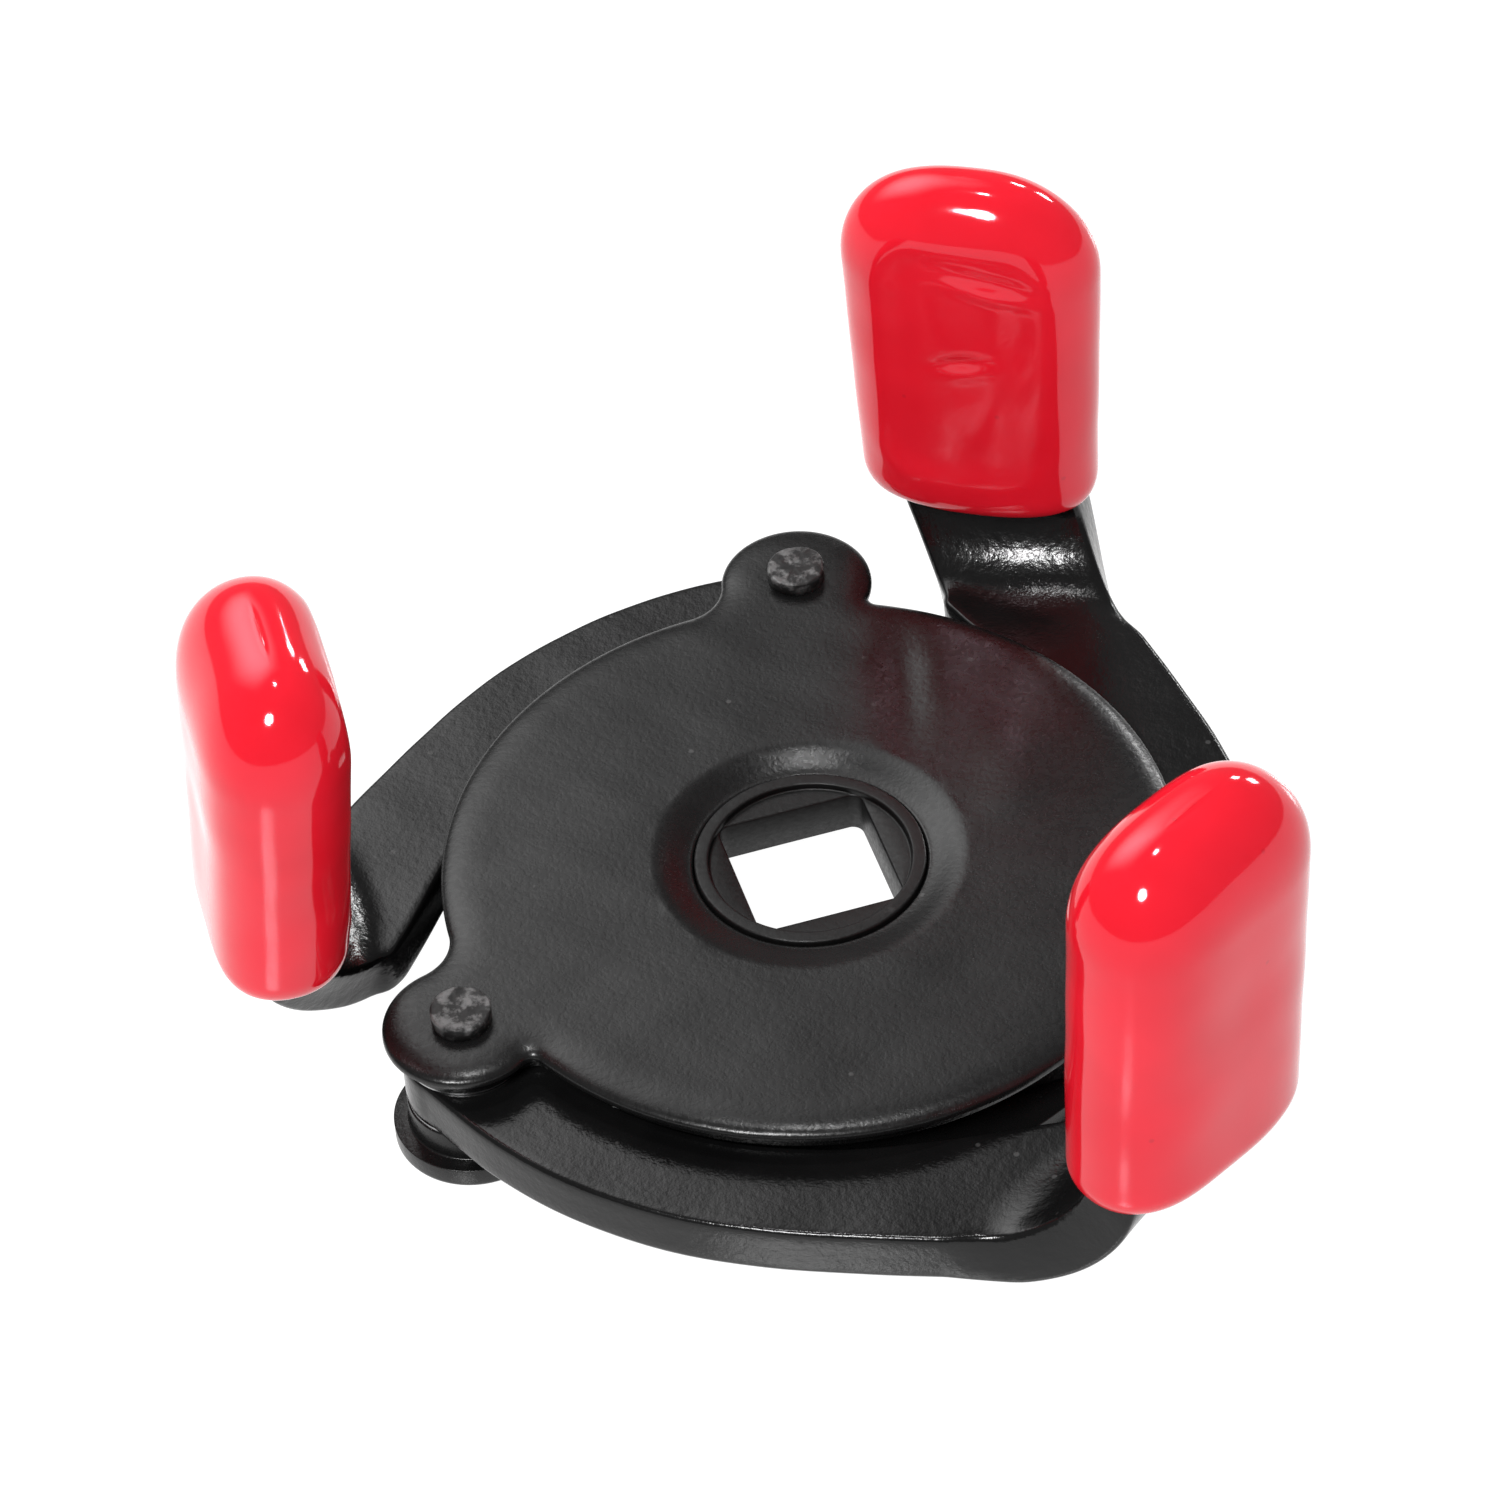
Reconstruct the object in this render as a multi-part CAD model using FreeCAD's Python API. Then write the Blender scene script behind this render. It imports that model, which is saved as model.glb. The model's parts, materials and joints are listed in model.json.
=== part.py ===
import FreeCAD, Part
import math
import os

# Three-jaw oil filter wrench.
# A square drive turns a central gear, which swings three hooked jaws about rivets between
# two steel plates. Each jaw ends in an upright tab dipped in soft vinyl.
# Millimetres. +Z is up, the tabs point up, and the origin is on the drive's axis at the
# underside of the bottom plate. Each jaw is drawn in its own frame, with its pivot on +X.

# ---- driving dimensions ----
DRIVE_SQUARE = 9.53          # 3/8 inch square drive
PIVOT_RADIUS = 25.4          # rivet circle
PIVOT_ANGLES = (90.0, 210.0, 330.0)
SQUARE_ANGLE = 15.5          # turn of the square at rest

# heights above the underside
LOWER_LIP_TOP = 1.6          # outer lip of the bottom plate
LOWER_STEP_TOP = 3.6         # raised inner face of the bottom plate
JAW_BOTTOM = 3.85
JAW_THICK = 3.65
JAW_TOP = JAW_BOTTOM + JAW_THICK
UPPER_STEP_BOTTOM = 7.75     # lowered inner face of the top cover
UPPER_LIP_BOTTOM = 9.25      # outer lip of the top cover
HUB_TOP = 9.8                # top of the drive gear's ring
COVER_TOP = 10.2
RIVET_TOP = 11.2
SLEEVE_BOTTOM = 12.4
SLEEVE_TOP = 38.4

# plates
PLATE_RADIUS = 23.45
EAR_RADIUS = 5.0
STEP_INSET = 1.0             # how far the inner step stands back from the rim
UPPER_SHOULDER = 0.9         # rounding of the cover's outer lip
LOWER_SHOULDER = 0.4         # rounding of the bottom plate's outer lip
SMOOTH_FILLET = 3.2          # soft blend where an ear meets the round edge
TIGHT_FILLET = 0.7           # tight blend on the other sides
# blend before and after each ear, going anticlockwise
EAR_BLENDS = ((TIGHT_FILLET, SMOOTH_FILLET), (SMOOTH_FILLET, TIGHT_FILLET), (TIGHT_FILLET, TIGHT_FILLET))
DISH_RADIUS = 9.3            # the cover dips towards the hub from here
DISH_SLOPE_INNER = 0.1       # rise per length at the hub, half-way and at the flat top
DISH_SLOPE_MIDDLE = 0.3

# drive gear
HUB_RADIUS = 7.37
HUB_CLEARANCE = 0.08
HUB_BORE_RADIUS = 6.45
HUB_BORE_DEPTH = 0.45
RING_LINE_RADIUS = 6.95      # fine turned line on the ring
RING_LINE_WIDTH = 0.1
RING_LINE_DEPTH = 0.08
SQUARE_DEPTH = 3.0
SQUARE_CORNER = 0.8
SPIGOT_RADIUS = 10.6
SPIGOT_BOTTOM = 2.8
RELIEF_TOP_RADIUS = 6.9
RELIEF_BOTTOM_RADIUS = 10.0
GEAR_END_PLAY = 0.1
PLATE_HOLE_FLARE = 12.3
TEETH = 18
PITCH_RADIUS = PIVOT_RADIUS / 2
MODULE = 2 * PITCH_RADIUS / TEETH
ADDENDUM = 0.85 * MODULE
DEDENDUM = 1.12 * MODULE
PRESSURE_ANGLE = math.radians(20.0)
FLANK_EASE = math.radians(0.35)   # backlash taken off each flank
FLANK_STEPS = 5              # straight pieces along each flank
SECTOR_TEETH = (-20.0, 0.0, 20.0, 40.0)
SECTOR_END = 46.0

# jaw arm
PIVOT_BOSS_RADIUS = 4.0
JAW_BORE_RADIUS = 2.55
TAB_AZIMUTH = 105.3          # direction that the tab's outer face looks in, in the jaw's frame
TAB_CENTRE_OUT = 33.9        # middle of the tab's thickness, along that direction
TAB_SHIFT = -4.4             # sideways middle of the upright tab
TAB_WIDTH = 12.4
BEND_INNER_RADIUS = 6.0
TAB_TOP = 34.2
TAB_CORNER = 3.0
# sideways places of the strip's two edges round the bend, in even steps from flat to upright
BEND_OUTER_SIDES = (-16.7, -15.0, -13.7, -12.7, -11.9, -11.2, -10.6)
BEND_INNER_SIDES = (-3.75, -2.8, -1.8, -0.8, 0.15, 1.0, 1.8)

# edges of the flat crescent, as radius and direction about the drive's axis in the jaw's frame
OUTER_ROOT_DIRECTION = 20.0  # where the outer edge leaves the boss, about the pivot
OUTER_NEAR = (28.75, 27.0)
OUTER_MIDDLE = (29.0, 52.0)
OUTER_FAR = (29.75, 64.0)
INNER_TIP = (25.4, 95.4)
INNER_FAR = (23.2, 80.0)
INNER_MIDDLE = (22.4, 62.0)
INNER_NEAR = (22.1, 43.0)
INNER_ROOT = (22.0, 25.0)

# vinyl sleeve
SLEEVE_FOOT = (34.0, -4.1)   # middle of the foot, along and across the tab's direction
SLEEVE_CROWN = (32.9, -2.9)  # middle of the crown, which leans towards the hub
SLEEVE_WIDTH_BOTTOM = 15.6
SLEEVE_WIDTH_TOP = 17.4
SLEEVE_THICK_BOTTOM = 9.0
SLEEVE_THICK_TOP = 9.4
SLEEVE_CORNER = 4.3
SLEEVE_LOWER_EDGE = 1.5
SLEEVE_UPPER_EDGE = 3.9

# pivots
BUSH_RADIUS = 2.5
BUSH_BORE_RADIUS = 1.62
SHANK_RADIUS = 1.6
RIVET_HEAD_RADIUS = 1.92
HEAD_EDGE = 0.15
LOWER_HEAD_RADIUS = 2.4
LOWER_HEAD_DEPTH = 0.8
WASHER_RADIUS = 3.9
WASHER_PLAY = 0.05

CUT_MARGIN = 1.0             # how far a cutting shape reaches past what it cuts
SAME_PLACE = 1e-4            # heights closer than this are the same

UP = FreeCAD.Vector(0, 0, 1)
ORIGIN = FreeCAD.Vector(0, 0, 0)


def point(x, y, z=0.0):
    return FreeCAD.Vector(x, y, z)


def polar(radius, degrees, centre=ORIGIN, z=0.0):
    angle = math.radians(degrees)
    return point(centre.x + radius * math.cos(angle), centre.y + radius * math.sin(angle), z)


def arc(start, middle, end):
    return Part.Arc(start, middle, end).toShape()


def line(start, end):
    return Part.LineSegment(start, end).toShape()


def arc_about(centre, radius, start, end):
    """The shorter arc of a circle from one point on it to another."""
    chord = (start + end) * 0.5 - centre
    middle = centre + chord * (radius / chord.Length)
    return arc(start, middle, end)


def disc(radius, centre=ORIGIN):
    return Part.Face(Part.Wire(Part.makeCircle(radius, centre, UP)))


def prism(face, bottom, top):
    raised = face.copy()
    raised.translate(point(0, 0, bottom))
    return raised.extrude(point(0, 0, top - bottom))


def tube(outer, inner, bottom, top, centre=ORIGIN):
    return prism(disc(outer, centre).cut(disc(inner, centre)), bottom, top)


def cone(radius_bottom, radius_top, bottom, top, centre=ORIGIN):
    return Part.makeCone(radius_bottom, radius_top, top - bottom, point(centre.x, centre.y, bottom), UP)


def turned(shape, degrees):
    copy = shape.copy()
    copy.rotate(ORIGIN, UP, degrees)
    return copy


# ---- plates ----

def blend_centre(pivot_angle, side, plate_radius, ear_radius, fillet):
    """Centre of the round that touches both the plate's edge and the ear's, from the triangle
    of the plate's centre, the ear's centre and the round's centre."""
    a = plate_radius + fillet
    b = ear_radius + fillet
    cosine = (a * a + PIVOT_RADIUS * PIVOT_RADIUS - b * b) / (2 * a * PIVOT_RADIUS)
    return polar(a, pivot_angle + side * math.degrees(math.acos(cosine)))


def plate_outline(inset):
    """Round plate with three ears, drawn in by the given distance all round."""
    plate_radius = PLATE_RADIUS - inset
    ear_radius = EAR_RADIUS - inset
    joins = []
    for pivot_angle, blends in zip(PIVOT_ANGLES, EAR_BLENDS):
        pivot = polar(PIVOT_RADIUS, pivot_angle)
        for side, blend in zip((-1, 1), blends):
            fillet = blend + inset
            centre = blend_centre(pivot_angle, side, plate_radius, ear_radius, fillet)
            on_plate = centre * (plate_radius / centre.Length)
            on_ear = pivot + (centre - pivot) * (ear_radius / (ear_radius + fillet))
            joins.append((centre, fillet, on_plate, on_ear))
    edges = []
    for index, pivot_angle in enumerate(PIVOT_ANGLES):
        before = joins[2 * index]
        after = joins[2 * index + 1]
        following = joins[(2 * index + 2) % len(joins)]
        edges.append(arc_about(before[0], before[1], before[2], before[3]))
        edges.append(arc(before[3], polar(PIVOT_RADIUS + ear_radius, pivot_angle), after[3]))
        edges.append(arc_about(after[0], after[1], after[3], after[2]))
        edges.append(arc_about(ORIGIN, plate_radius, after[2], following[2]))
    return Part.Face(Part.Wire(edges))


def edges_at(shape, height):
    """The shape's edges that lie wholly at one height."""
    found = []
    for edge in shape.Edges:
        box = edge.BoundBox
        if abs(box.ZMin - height) < SAME_PLACE and abs(box.ZMax - height) < SAME_PLACE:
            found.append(edge)
    return found


def plate(outer_face, lip_inner, step_face, shoulder):
    """Stamped plate: a lip with a rounded outer edge and an inner step standing back from it."""
    low, high = sorted((outer_face, lip_inner))
    lip = prism(plate_outline(0.0), low, high)
    lip = lip.makeFillet(shoulder, edges_at(lip, outer_face))
    low, high = sorted((lip_inner, step_face))
    step = prism(plate_outline(STEP_INSET), low, high)
    return lip.fuse(step).removeSplitter()


def pivots():
    return [polar(PIVOT_RADIUS, angle) for angle in PIVOT_ANGLES]


def hub_dish():
    """Shallow dip in the cover, falling in an S from the flat top to the hub ring's level."""
    inner = HUB_RADIUS - CUT_MARGIN
    middle_radius = (DISH_RADIUS + HUB_RADIUS) / 2
    middle_height = (COVER_TOP + HUB_TOP) / 2
    above = COVER_TOP + CUT_MARGIN
    slope = Part.BSplineCurve()
    slope.interpolate(
        Points=[
            point(HUB_RADIUS, 0, HUB_TOP), point(middle_radius, 0, middle_height), point(DISH_RADIUS, 0, COVER_TOP)],
        Tangents=[point(1, 0, DISH_SLOPE_INNER), point(1, 0, DISH_SLOPE_MIDDLE), point(1, 0, 0)],
        TangentFlags=[True, True, True])
    edges = [
        line(point(inner, 0, HUB_TOP), point(HUB_RADIUS, 0, HUB_TOP)),
        slope.toShape(),
        line(point(DISH_RADIUS, 0, COVER_TOP), point(DISH_RADIUS, 0, above)),
        line(point(DISH_RADIUS, 0, above), point(inner, 0, above)),
        line(point(inner, 0, above), point(inner, 0, HUB_TOP)),
    ]
    return Part.Face(Part.Wire(edges)).revolve(ORIGIN, UP, 360)


def top_cover():
    body = plate(COVER_TOP, UPPER_LIP_BOTTOM, UPPER_STEP_BOTTOM, UPPER_SHOULDER)
    body = body.cut(hub_dish())
    body = body.cut(prism(disc(HUB_RADIUS + HUB_CLEARANCE), 0, COVER_TOP))
    for pivot in pivots():
        body = body.cut(prism(disc(SHANK_RADIUS, pivot), 0, COVER_TOP))
    return body


def bottom_plate():
    body = plate(0.0, LOWER_LIP_TOP, LOWER_STEP_TOP, LOWER_SHOULDER)
    body = body.cut(prism(disc(SPIGOT_RADIUS + HUB_CLEARANCE), 0, LOWER_STEP_TOP))
    body = body.cut(cone(PLATE_HOLE_FLARE, SPIGOT_RADIUS + HUB_CLEARANCE, 0, SPIGOT_BOTTOM))
    for pivot in pivots():
        body = body.cut(prism(disc(SHANK_RADIUS, pivot), 0, LOWER_STEP_TOP))
        body = body.cut(cone(LOWER_HEAD_RADIUS, SHANK_RADIUS, 0, LOWER_HEAD_DEPTH, pivot))
    return body


# ---- gears ----

def involute_half_angle(radius):
    """Half of a tooth's angle at a radius: the involute's, less the easing for backlash."""
    base = PITCH_RADIUS * math.cos(PRESSURE_ANGLE)
    at_pitch = math.tan(PRESSURE_ANGLE) - PRESSURE_ANGLE
    roll = math.acos(base / max(radius, base))
    return math.pi / (2 * TEETH) + at_pitch - (math.tan(roll) - roll) - FLANK_EASE


def tooth(centre, degrees):
    """One tooth on a gear of the given centre, pointing in the given direction."""
    root = PITCH_RADIUS - DEDENDUM
    base = PITCH_RADIUS * math.cos(PRESSURE_ANGLE)
    tip = PITCH_RADIUS + ADDENDUM
    radii = [root - MODULE] + [base + (tip - base) * i / FLANK_STEPS for i in range(FLANK_STEPS + 1)]
    left = [polar(r, degrees + math.degrees(involute_half_angle(r)), centre) for r in radii]
    right = [polar(r, degrees - math.degrees(involute_half_angle(r)), centre) for r in reversed(radii)]
    return Part.Face(Part.makePolygon(left + right + [left[0]]))


def square_hole():
    """Rounded square on the hub's axis."""
    half = DRIVE_SQUARE / 2
    block = Part.makeBox(DRIVE_SQUARE, DRIVE_SQUARE, HUB_TOP, point(-half, -half, 0))
    uprights = [edge for edge in block.Edges if abs(edge.BoundBox.ZLength - HUB_TOP) < SAME_PLACE]
    return turned(block.makeFillet(SQUARE_CORNER, uprights), SQUARE_ANGLE)


def drive_gear():
    bottom = LOWER_STEP_TOP + GEAR_END_PLAY
    top = UPPER_STEP_BOTTOM - GEAR_END_PLAY
    wheel = disc(PITCH_RADIUS - DEDENDUM)
    # a gap between two teeth faces each pivot
    for index in range(TEETH):
        wheel = wheel.fuse(tooth(ORIGIN, PIVOT_ANGLES[0] + (index + 0.5) * 360.0 / TEETH))
    body = prism(wheel.removeSplitter(), bottom, top)
    body = body.fuse(prism(disc(HUB_RADIUS), top, HUB_TOP))
    body = body.fuse(prism(disc(SPIGOT_RADIUS), SPIGOT_BOTTOM, bottom))
    square_top = HUB_TOP - HUB_BORE_DEPTH
    square_bottom = square_top - SQUARE_DEPTH
    body = body.cut(square_hole())
    body = body.cut(prism(disc(HUB_BORE_RADIUS), square_top, HUB_TOP))
    body = body.cut(cone(RELIEF_BOTTOM_RADIUS, RELIEF_TOP_RADIUS, SPIGOT_BOTTOM, square_bottom))
    line_outer = RING_LINE_RADIUS + RING_LINE_WIDTH / 2
    line_inner = RING_LINE_RADIUS - RING_LINE_WIDTH / 2
    line_groove = tube(line_outer, line_inner, HUB_TOP - RING_LINE_DEPTH, HUB_TOP)
    return body.cut(line_groove).removeSplitter()


# ---- jaws, in the jaw's own frame ----

JAW_PIVOT = point(PIVOT_RADIUS, 0)
OUTWARD = polar(1.0, TAB_AZIMUTH)
SIDEWAYS = polar(1.0, TAB_AZIMUTH + 90.0)


def tab_point(outward, sideways, z=0.0):
    """A point given by distances along and across the direction that the tab looks in."""
    base = OUTWARD * outward + SIDEWAYS * sideways
    return point(base.x, base.y, z)


BEND_START_OUT = TAB_CENTRE_OUT - JAW_THICK / 2 - BEND_INNER_RADIUS
BEND_MIDDLE_RADIUS = BEND_INNER_RADIUS + JAW_THICK / 2


def arm_face():
    """Plan of the flat crescent, from the pivot to the line where the bend starts."""
    neck_outer = tab_point(BEND_START_OUT, BEND_OUTER_SIDES[0])
    neck_inner = tab_point(BEND_START_OUT, BEND_INNER_SIDES[0])
    root = polar(PIVOT_BOSS_RADIUS, OUTER_ROOT_DIRECTION, JAW_PIVOT)
    outer_middle = polar(*OUTER_MIDDLE)
    inner_tip = polar(*INNER_TIP)
    inner_middle = polar(*INNER_MIDDLE)
    inner_root = polar(*INNER_ROOT)
    edges = [
        arc(root, polar(*OUTER_NEAR), outer_middle),
        arc(outer_middle, polar(*OUTER_FAR), neck_outer),
        line(neck_outer, neck_inner),
        line(neck_inner, inner_tip),
        arc(inner_tip, polar(*INNER_FAR), inner_middle),
        arc(inner_middle, polar(*INNER_NEAR), inner_root),
        line(inner_root, JAW_PIVOT),
        line(JAW_PIVOT, root),
    ]
    return Part.Face(Part.Wire(edges))


def sector_face():
    """Toothed fan that meshes with the drive gear, with the web behind it."""
    web = polar(*INNER_ROOT) - JAW_PIVOT
    web_start = math.degrees(math.atan2(web.y, web.x))
    radius = PITCH_RADIUS - DEDENDUM
    start = polar(radius, web_start, JAW_PIVOT)
    end_angle = 180.0 + SECTOR_END
    end = polar(radius, end_angle, JAW_PIVOT)
    edges = [
        line(JAW_PIVOT, start),
        arc(start, polar(radius, (web_start + end_angle) / 2, JAW_PIVOT), end),
        line(end, JAW_PIVOT),
    ]
    face = Part.Face(Part.Wire(edges))
    for angle in SECTOR_TEETH:
        face = face.fuse(tooth(JAW_PIVOT, 180.0 + angle))
    return face


def bend_section(turn, outer_side, inner_side):
    """Cross-section of the strip part-way round the bend, as a closed rectangle."""
    angle = math.radians(turn)
    height = JAW_BOTTOM + JAW_THICK / 2 + BEND_MIDDLE_RADIUS * (1 - math.cos(angle))
    outward = BEND_START_OUT + BEND_MIDDLE_RADIUS * math.sin(angle)
    corners = []
    for side, through in ((outer_side, -1), (inner_side, -1), (inner_side, 1), (outer_side, 1)):
        offset = through * JAW_THICK / 2
        corners.append(tab_point(
            outward - offset * math.sin(angle),
            side,
            height + offset * math.cos(angle)))
    return Part.makePolygon(corners + [corners[0]])


def bend():
    """Quarter turn from flat to upright, sliding sideways and narrowing as it rises."""
    last = len(BEND_OUTER_SIDES) - 1
    sections = []
    for step, (outer_side, inner_side) in enumerate(zip(BEND_OUTER_SIDES, BEND_INNER_SIDES)):
        sections.append(bend_section(90.0 * step / last, outer_side, inner_side))
    return Part.makeLoft(sections, True, False)


def tab():
    """Upright tongue above the bend, with rounded upper corners."""
    bottom = JAW_BOTTOM + JAW_THICK / 2 + BEND_MIDDLE_RADIUS
    half = TAB_WIDTH / 2
    inner = TAB_CENTRE_OUT - JAW_THICK / 2
    corner_run = TAB_CORNER * (1 - math.sqrt(0.5))
    outline = [
        line(tab_point(inner, TAB_SHIFT - half, bottom), tab_point(inner, TAB_SHIFT + half, bottom)),
        line(tab_point(inner, TAB_SHIFT + half, bottom), tab_point(inner, TAB_SHIFT + half, TAB_TOP - TAB_CORNER)),
        arc(
            tab_point(inner, TAB_SHIFT + half, TAB_TOP - TAB_CORNER),
            tab_point(inner, TAB_SHIFT + half - corner_run, TAB_TOP - corner_run),
            tab_point(inner, TAB_SHIFT + half - TAB_CORNER, TAB_TOP)),
        line(
            tab_point(inner, TAB_SHIFT + half - TAB_CORNER, TAB_TOP),
            tab_point(inner, TAB_SHIFT - half + TAB_CORNER, TAB_TOP)),
        arc(
            tab_point(inner, TAB_SHIFT - half + TAB_CORNER, TAB_TOP),
            tab_point(inner, TAB_SHIFT - half + corner_run, TAB_TOP - corner_run),
            tab_point(inner, TAB_SHIFT - half, TAB_TOP - TAB_CORNER)),
        line(tab_point(inner, TAB_SHIFT - half, TAB_TOP - TAB_CORNER), tab_point(inner, TAB_SHIFT - half, bottom)),
    ]
    return Part.Face(Part.Wire(outline)).extrude(OUTWARD * JAW_THICK)


def jaw_arm():
    plan = arm_face().fuse(disc(PIVOT_BOSS_RADIUS, JAW_PIVOT)).fuse(sector_face())
    flat = prism(plan.removeSplitter(), JAW_BOTTOM, JAW_TOP)
    flat = flat.cut(prism(disc(JAW_BORE_RADIUS, JAW_PIVOT), JAW_BOTTOM, JAW_TOP))
    return flat.fuse(bend()).fuse(tab()).removeSplitter()


def sleeve_section(width, thick, middle, height):
    """Rounded rectangle at one height, as a wire. Its middle is along and across the tab's
    direction."""
    block = Part.makeBox(width, thick, thick, point(-width / 2, -thick / 2, 0))
    uprights = [edge for edge in block.Edges if abs(edge.BoundBox.ZLength - thick) < SAME_PLACE]
    rounded = block.makeFillet(SLEEVE_CORNER, uprights)
    lowest = min(rounded.Faces, key=lambda face: face.CenterOfMass.z)
    wire = lowest.OuterWire
    wire.rotate(ORIGIN, UP, TAB_AZIMUTH + 90.0)
    wire.translate(tab_point(middle[0], middle[1], height))
    return wire


def grip_sleeve(arm):
    """Thick vinyl coat on the tab, a little fuller at the top, with every edge rounded."""
    bottom = sleeve_section(SLEEVE_WIDTH_BOTTOM, SLEEVE_THICK_BOTTOM, SLEEVE_FOOT, SLEEVE_BOTTOM)
    top = sleeve_section(SLEEVE_WIDTH_TOP, SLEEVE_THICK_TOP, SLEEVE_CROWN, SLEEVE_TOP)
    coat = Part.makeLoft([bottom, top], True, True)
    coat = coat.makeFillet(SLEEVE_UPPER_EDGE, edges_at(coat, SLEEVE_TOP))
    coat = coat.makeFillet(SLEEVE_LOWER_EDGE, edges_at(coat, SLEEVE_BOTTOM))
    return coat.cut(arm)


# ---- pivots ----

def pivot_rivet(pivot):
    shank = prism(disc(SHANK_RADIUS, pivot), LOWER_HEAD_DEPTH, COVER_TOP)
    head = prism(disc(RIVET_HEAD_RADIUS, pivot), COVER_TOP, RIVET_TOP)
    head = head.makeFillet(HEAD_EDGE, edges_at(head, RIVET_TOP))
    foot = cone(LOWER_HEAD_RADIUS, SHANK_RADIUS, 0, LOWER_HEAD_DEPTH, pivot)
    return shank.fuse(head).fuse(foot).removeSplitter()


def save(name, shape):
    if not shape.isValid():
        raise ValueError(name + " is not a valid shape")
    solids = shape.Solids
    if len(solids) != 1:
        raise ValueError(name + " is not one solid")
    solids[0].exportStep("parts/" + name + ".step")
    box = shape.BoundBox
    print(name, "volume %.1f" % shape.Volume, "z %.2f to %.2f" % (box.ZMin, box.ZMax))


def main():
    os.makedirs("parts", exist_ok=True)
    save("top_cover", top_cover())
    save("bottom_plate", bottom_plate())
    save("drive_gear", drive_gear())
    arm = jaw_arm()
    sleeve = grip_sleeve(arm)
    for number, (angle, pivot) in enumerate(zip(PIVOT_ANGLES, pivots()), start=1):
        bush = tube(BUSH_RADIUS, BUSH_BORE_RADIUS, LOWER_STEP_TOP, UPPER_STEP_BOTTOM, pivot)
        lower_washer = tube(WASHER_RADIUS, BUSH_RADIUS, LOWER_STEP_TOP, JAW_BOTTOM - WASHER_PLAY, pivot)
        upper_washer = tube(WASHER_RADIUS, BUSH_RADIUS, JAW_TOP + WASHER_PLAY, UPPER_STEP_BOTTOM, pivot)
        save("jaw_arm_%d" % number, turned(arm, angle))
        save("grip_sleeve_%d" % number, turned(sleeve, angle))
        save("pivot_rivet_%d" % number, pivot_rivet(pivot))
        save("pivot_bush_%d" % number, bush)
        save("lower_washer_%d" % number, lower_washer)
        save("upper_washer_%d" % number, upper_washer)


main()
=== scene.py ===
# %% [markdown]
# # A three-jaw oil filter wrench
# Two pressed steel plates hold a gear with a square hole. Turning the gear swings three hooked
# jaws, whose upright ends are dipped in thick red vinyl. The frame gives every place and size,
# and this script gives each piece its real surface and finish.

import json
import math

import bmesh
import bpy
import numpy as np
from mathutils import Matrix, Vector
from mathutils.geometry import delaunay_2d_cdt


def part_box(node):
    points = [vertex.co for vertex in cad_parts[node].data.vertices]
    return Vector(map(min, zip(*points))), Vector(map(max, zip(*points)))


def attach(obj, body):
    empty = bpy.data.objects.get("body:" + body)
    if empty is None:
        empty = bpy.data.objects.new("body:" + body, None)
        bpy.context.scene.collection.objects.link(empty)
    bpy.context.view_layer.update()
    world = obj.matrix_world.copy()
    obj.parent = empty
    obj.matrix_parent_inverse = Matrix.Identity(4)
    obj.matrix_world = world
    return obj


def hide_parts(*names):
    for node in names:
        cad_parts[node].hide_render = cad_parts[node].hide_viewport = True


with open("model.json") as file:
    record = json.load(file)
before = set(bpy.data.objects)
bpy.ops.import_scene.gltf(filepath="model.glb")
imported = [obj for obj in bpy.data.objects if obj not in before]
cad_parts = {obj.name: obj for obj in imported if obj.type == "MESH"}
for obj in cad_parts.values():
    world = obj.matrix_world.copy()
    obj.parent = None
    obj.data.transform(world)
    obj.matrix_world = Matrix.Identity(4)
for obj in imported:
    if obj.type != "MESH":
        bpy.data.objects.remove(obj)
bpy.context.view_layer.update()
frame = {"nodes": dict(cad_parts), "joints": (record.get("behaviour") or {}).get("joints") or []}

# %% [markdown]
# ## Sizes
# The shapes below are worked out in millimetres and turned into metres as each mesh is made.
# Heights and pivots are read from the frame, so the pieces sit where the mechanism needs them.

# %% Sizes read from the frame
MM = 0.001
WASHER_GAP = 0.05


def low_mm(node):
    """The low corner of a node's box, in mm."""
    return np.array(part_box(node)[0]) / MM


def high_mm(node):
    """The high corner of a node's box, in mm."""
    return np.array(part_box(node)[1]) / MM


COVER_TOP = high_mm("top_cover")[2]
COVER_STEP = low_mm("top_cover")[2]
BASE_UNDERSIDE = low_mm("bottom_plate")[2]
BASE_STEP = high_mm("bottom_plate")[2]
HUB_TOP = high_mm("drive_gear")[2]
SPIGOT_BOTTOM = low_mm("drive_gear")[2]
RIVET_TOP = high_mm("pivot_rivet_1")[2]
JAW_BOTTOM = low_mm("jaw_arm_1")[2]
JAW_TOP = low_mm("upper_washer_1")[2] - WASHER_GAP
TAB_TOP = high_mm("jaw_arm_1")[2]
JOINTS = {joint["name"]: joint for joint in frame["joints"]}
PIVOTS = [np.array(JOINTS["jaw_%d_swing" % n]["pos_m"][:2]) / MM for n in (1, 2, 3)]
PIVOT_RADIUS = float(np.hypot(*PIVOTS[0]))
PIVOT_ANGLES = [math.degrees(math.atan2(p[1], p[0])) for p in PIVOTS]
print("pivot circle %.2f mm, cover top %.2f, tab top %.2f" % (PIVOT_RADIUS, COVER_TOP, TAB_TOP))

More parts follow.
